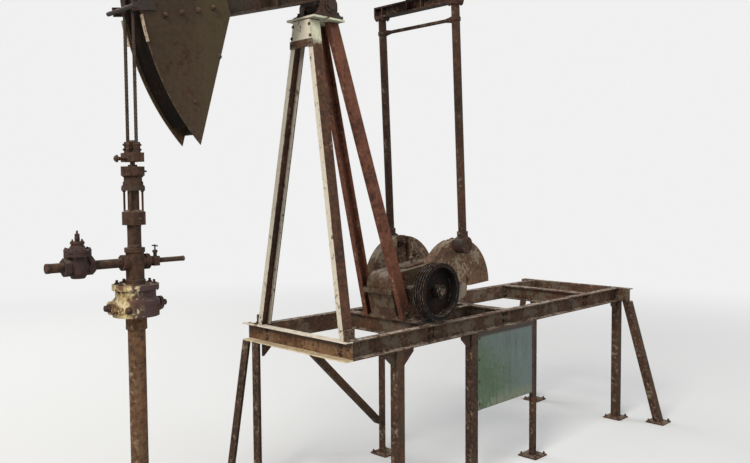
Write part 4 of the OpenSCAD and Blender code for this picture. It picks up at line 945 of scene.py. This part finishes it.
# Pale flakes on the faces towards the light are painted sunlight
casing_head_look = aged("casing_head_paint", "wellhead_paint", (0.3, 0.23, 0.105), 0.62,
                        rust=(0.09, 0.046, 0.026), bloom=(0.19, 0.09, 0.04), patch=11.0,
                        worn=(0.2, 0.13, 0.08), pale=(0.58, 0.47, 0.28),
                        pale_side=(-0.83, -0.45, 0.33), pale_share=0.42,
                        # The dark band over the half away from the light is painted shade
                        bands=[((0.705, -0.709, 0), 0.02, 1.0, 0.022, (0.055, 0.031, 0.029), 0.8)])
valve_look = aged("valve_rust", "valve_iron", (0.032, 0.019, 0.017), 0.5, rust=(0.03, 0.015, 0.012),
                  bloom=(0.075, 0.031, 0.018))
coat(casing_look, "casing")
coat(casing_head_look, "casing_head")
coat(valve_look, "gate_valve")
tee_base, flange_thick, outlet_z, lock_z, flow_z = 2.01, 0.034, 1.8672, 1.852, 2.154
stud_foot, gland, gland_t, cap_low, cap_top = 2.47, 2.625, 0.028, 2.722, 2.782
tee_bolt_r, rim_bolt_r, lock_r, outlet_x = 0.118, 0.139, 0.149, 0.185
well_bolts = [bolts(circle_of((0, 0, tee_base), up, tee_bolt_r, 8, 0.2), up, 0.018, 1.5),
              bolts(circle_of((0, 0, tee_base - flange_thick), up, rim_bolt_r, 8, 0.2), down, 0.01, 1.2)]
for t in np.radians((45, 135, 225, 315)):
    away = np.array((math.cos(t), math.sin(t), 0.0))
    well_bolts.append(bolts([lock_r * away + (0, 0, lock_z)], away, 0.022, 1.3))
shape("casing_head_bolts", well_bolts, fitting_look, "stand")


def threads(radius, length, crest, at, along, sides=40):
    """A threaded end: rings that rise and fall by the depth of the thread along the pipe."""
    steps = np.arange(0.0, length + 1e-9, 0.0014)
    return turned(np.column_stack([radius + crest * (np.arange(len(steps)) % 2), steps]), sides, at, along)


bull_plug = [(0.03, 0.0), (0.03, 0.01), (0.022, 0.012), (0.022, 0.03), (0.019, 0.034)]
riser_ends, flow_ends = (2.25, 2.38), ((-0.5855, 0.022), (-0.29, 0.018), (-0.113, 0.018), (-0.498, 0.018))
pipe_ends = [turned(bull_plug, 6, (s * outlet_x, 0, outlet_z), (s, 0, 0)) for s in (-1, 1)]
pipe_ends += [threads(0.0449, 0.02, 0.001, (0, 0, z), up, 56) for z in riser_ends]
pipe_ends += [threads(0.0306, length, 0.0009, (x, 0, flow_z), rearward) for x, length in flow_ends]
pipe_ends.append(threads(0.0174, 0.016, 0.0007, (0.349, 0, flow_z), rearward, 28))
shape("pipe_ends", pipe_ends, fitting_look, "stand", smooth=25)
band, band_z = [(0.0682, 0.0), (0.069, 0.004), (0.069, 0.014), (0.0682, 0.018)], (1.712, 1.78)
bands = turned(band, 72, [(0, 0, z) for z in band_z], up)
shape("casing_collar_bands", [bands], casing_look, "stand")
stud = [(0.007, 0.0), (0.007, 0.21), (0.006, 0.214)]
stud_at = circle_of((0, 0, stud_foot), up, 0.06, 4, 0.78)
gland_bits = [turned(stud, 12, stud_at, up),
              bolts(stud_at + (0, 0, gland + gland_t - stud_foot), up, 0.014, 0.9),
              bolts(stud_at + (0, 0, gland - stud_foot), down, 0.014, 0.9),
              bolts(circle_of((0, 0, cap_low), up, 0.066, 4), down, 0.01),
              ring(0.0165, 0.03, 0.012, 40, (0, 0, cap_top), up)]
oilers = (((0.0745, 0, 2.752), rearward), ((0, -0.0745, 2.44), nearward))
gland_bits += [turned(nipple, 16, at, along) for at, along in oilers]
shape("stuffing_box_fittings", gland_bits, fitting_look, "stand")


# GATE VALVE
# A cast iron valve with screwed hexagon ends. Its bonnet is held by eight studs and its packing by
# a gland with two. The stem is threaded and ends in a worn square.
valve_x, bonnet_r, bonnet_up, bonnet_low = -0.385, 0.071, 0.103, 0.064
packing_up, stem_up, square_up = 0.156, 0.158, 0.204
stem_square = [(0.009, 0.0), (0.0085, 0.018), (0.006, 0.021)]
bonnet = [bolts(circle_of((valve_x, 0, flow_z + bonnet_up), up, bonnet_r, 8, 0.2), up, 0.013, 1.3),
          bolts(circle_of((valve_x, 0, flow_z + bonnet_low), up, bonnet_r, 8, 0.2), down, 0.013),
          bolts([(valve_x + s * 0.031, 0, flow_z + packing_up) for s in (-1, 1)], up, 0.01, 1.6),
          threads(0.0152, 0.03, 0.001, (valve_x, 0, flow_z + stem_up), up, 28),
          turned(stem_square, 4, (valve_x, 0, flow_z + square_up), up, 0.3)]
shape("valve_studs", bonnet, valve_look, "stand")


# NEEDLE VALVE
# A small forged valve on the pipe at the other side of the tee: a hexagon packing nut over the
# block and a thin stem with a tee handle.
block_x, nut_up, stem_up, handle_up, handle_half = 0.147, 0.054, 0.072, 0.1, 0.038
packing_nut = [(0.016, 0.0), (0.017, 0.003), (0.017, 0.014), (0.014, 0.018)]
tee_handle = [(0.0, 0.0), (0.004, 0.002), (0.005, 0.01), (0.005, 0.066), (0.004, 0.074), (0.0, 0.076)]
handle = [turned(packing_nut, 6, (block_x, 0, flow_z + nut_up), up),
          turned([(0.005, 0.0), (0.005, 0.036)], 16, (block_x, 0, flow_z + stem_up), up),
          turned(tee_handle, 16, (block_x, -handle_half, flow_z + handle_up), (0, 1, 0))]
shape("needle_valve_handle", handle, fitting_look, "stand")
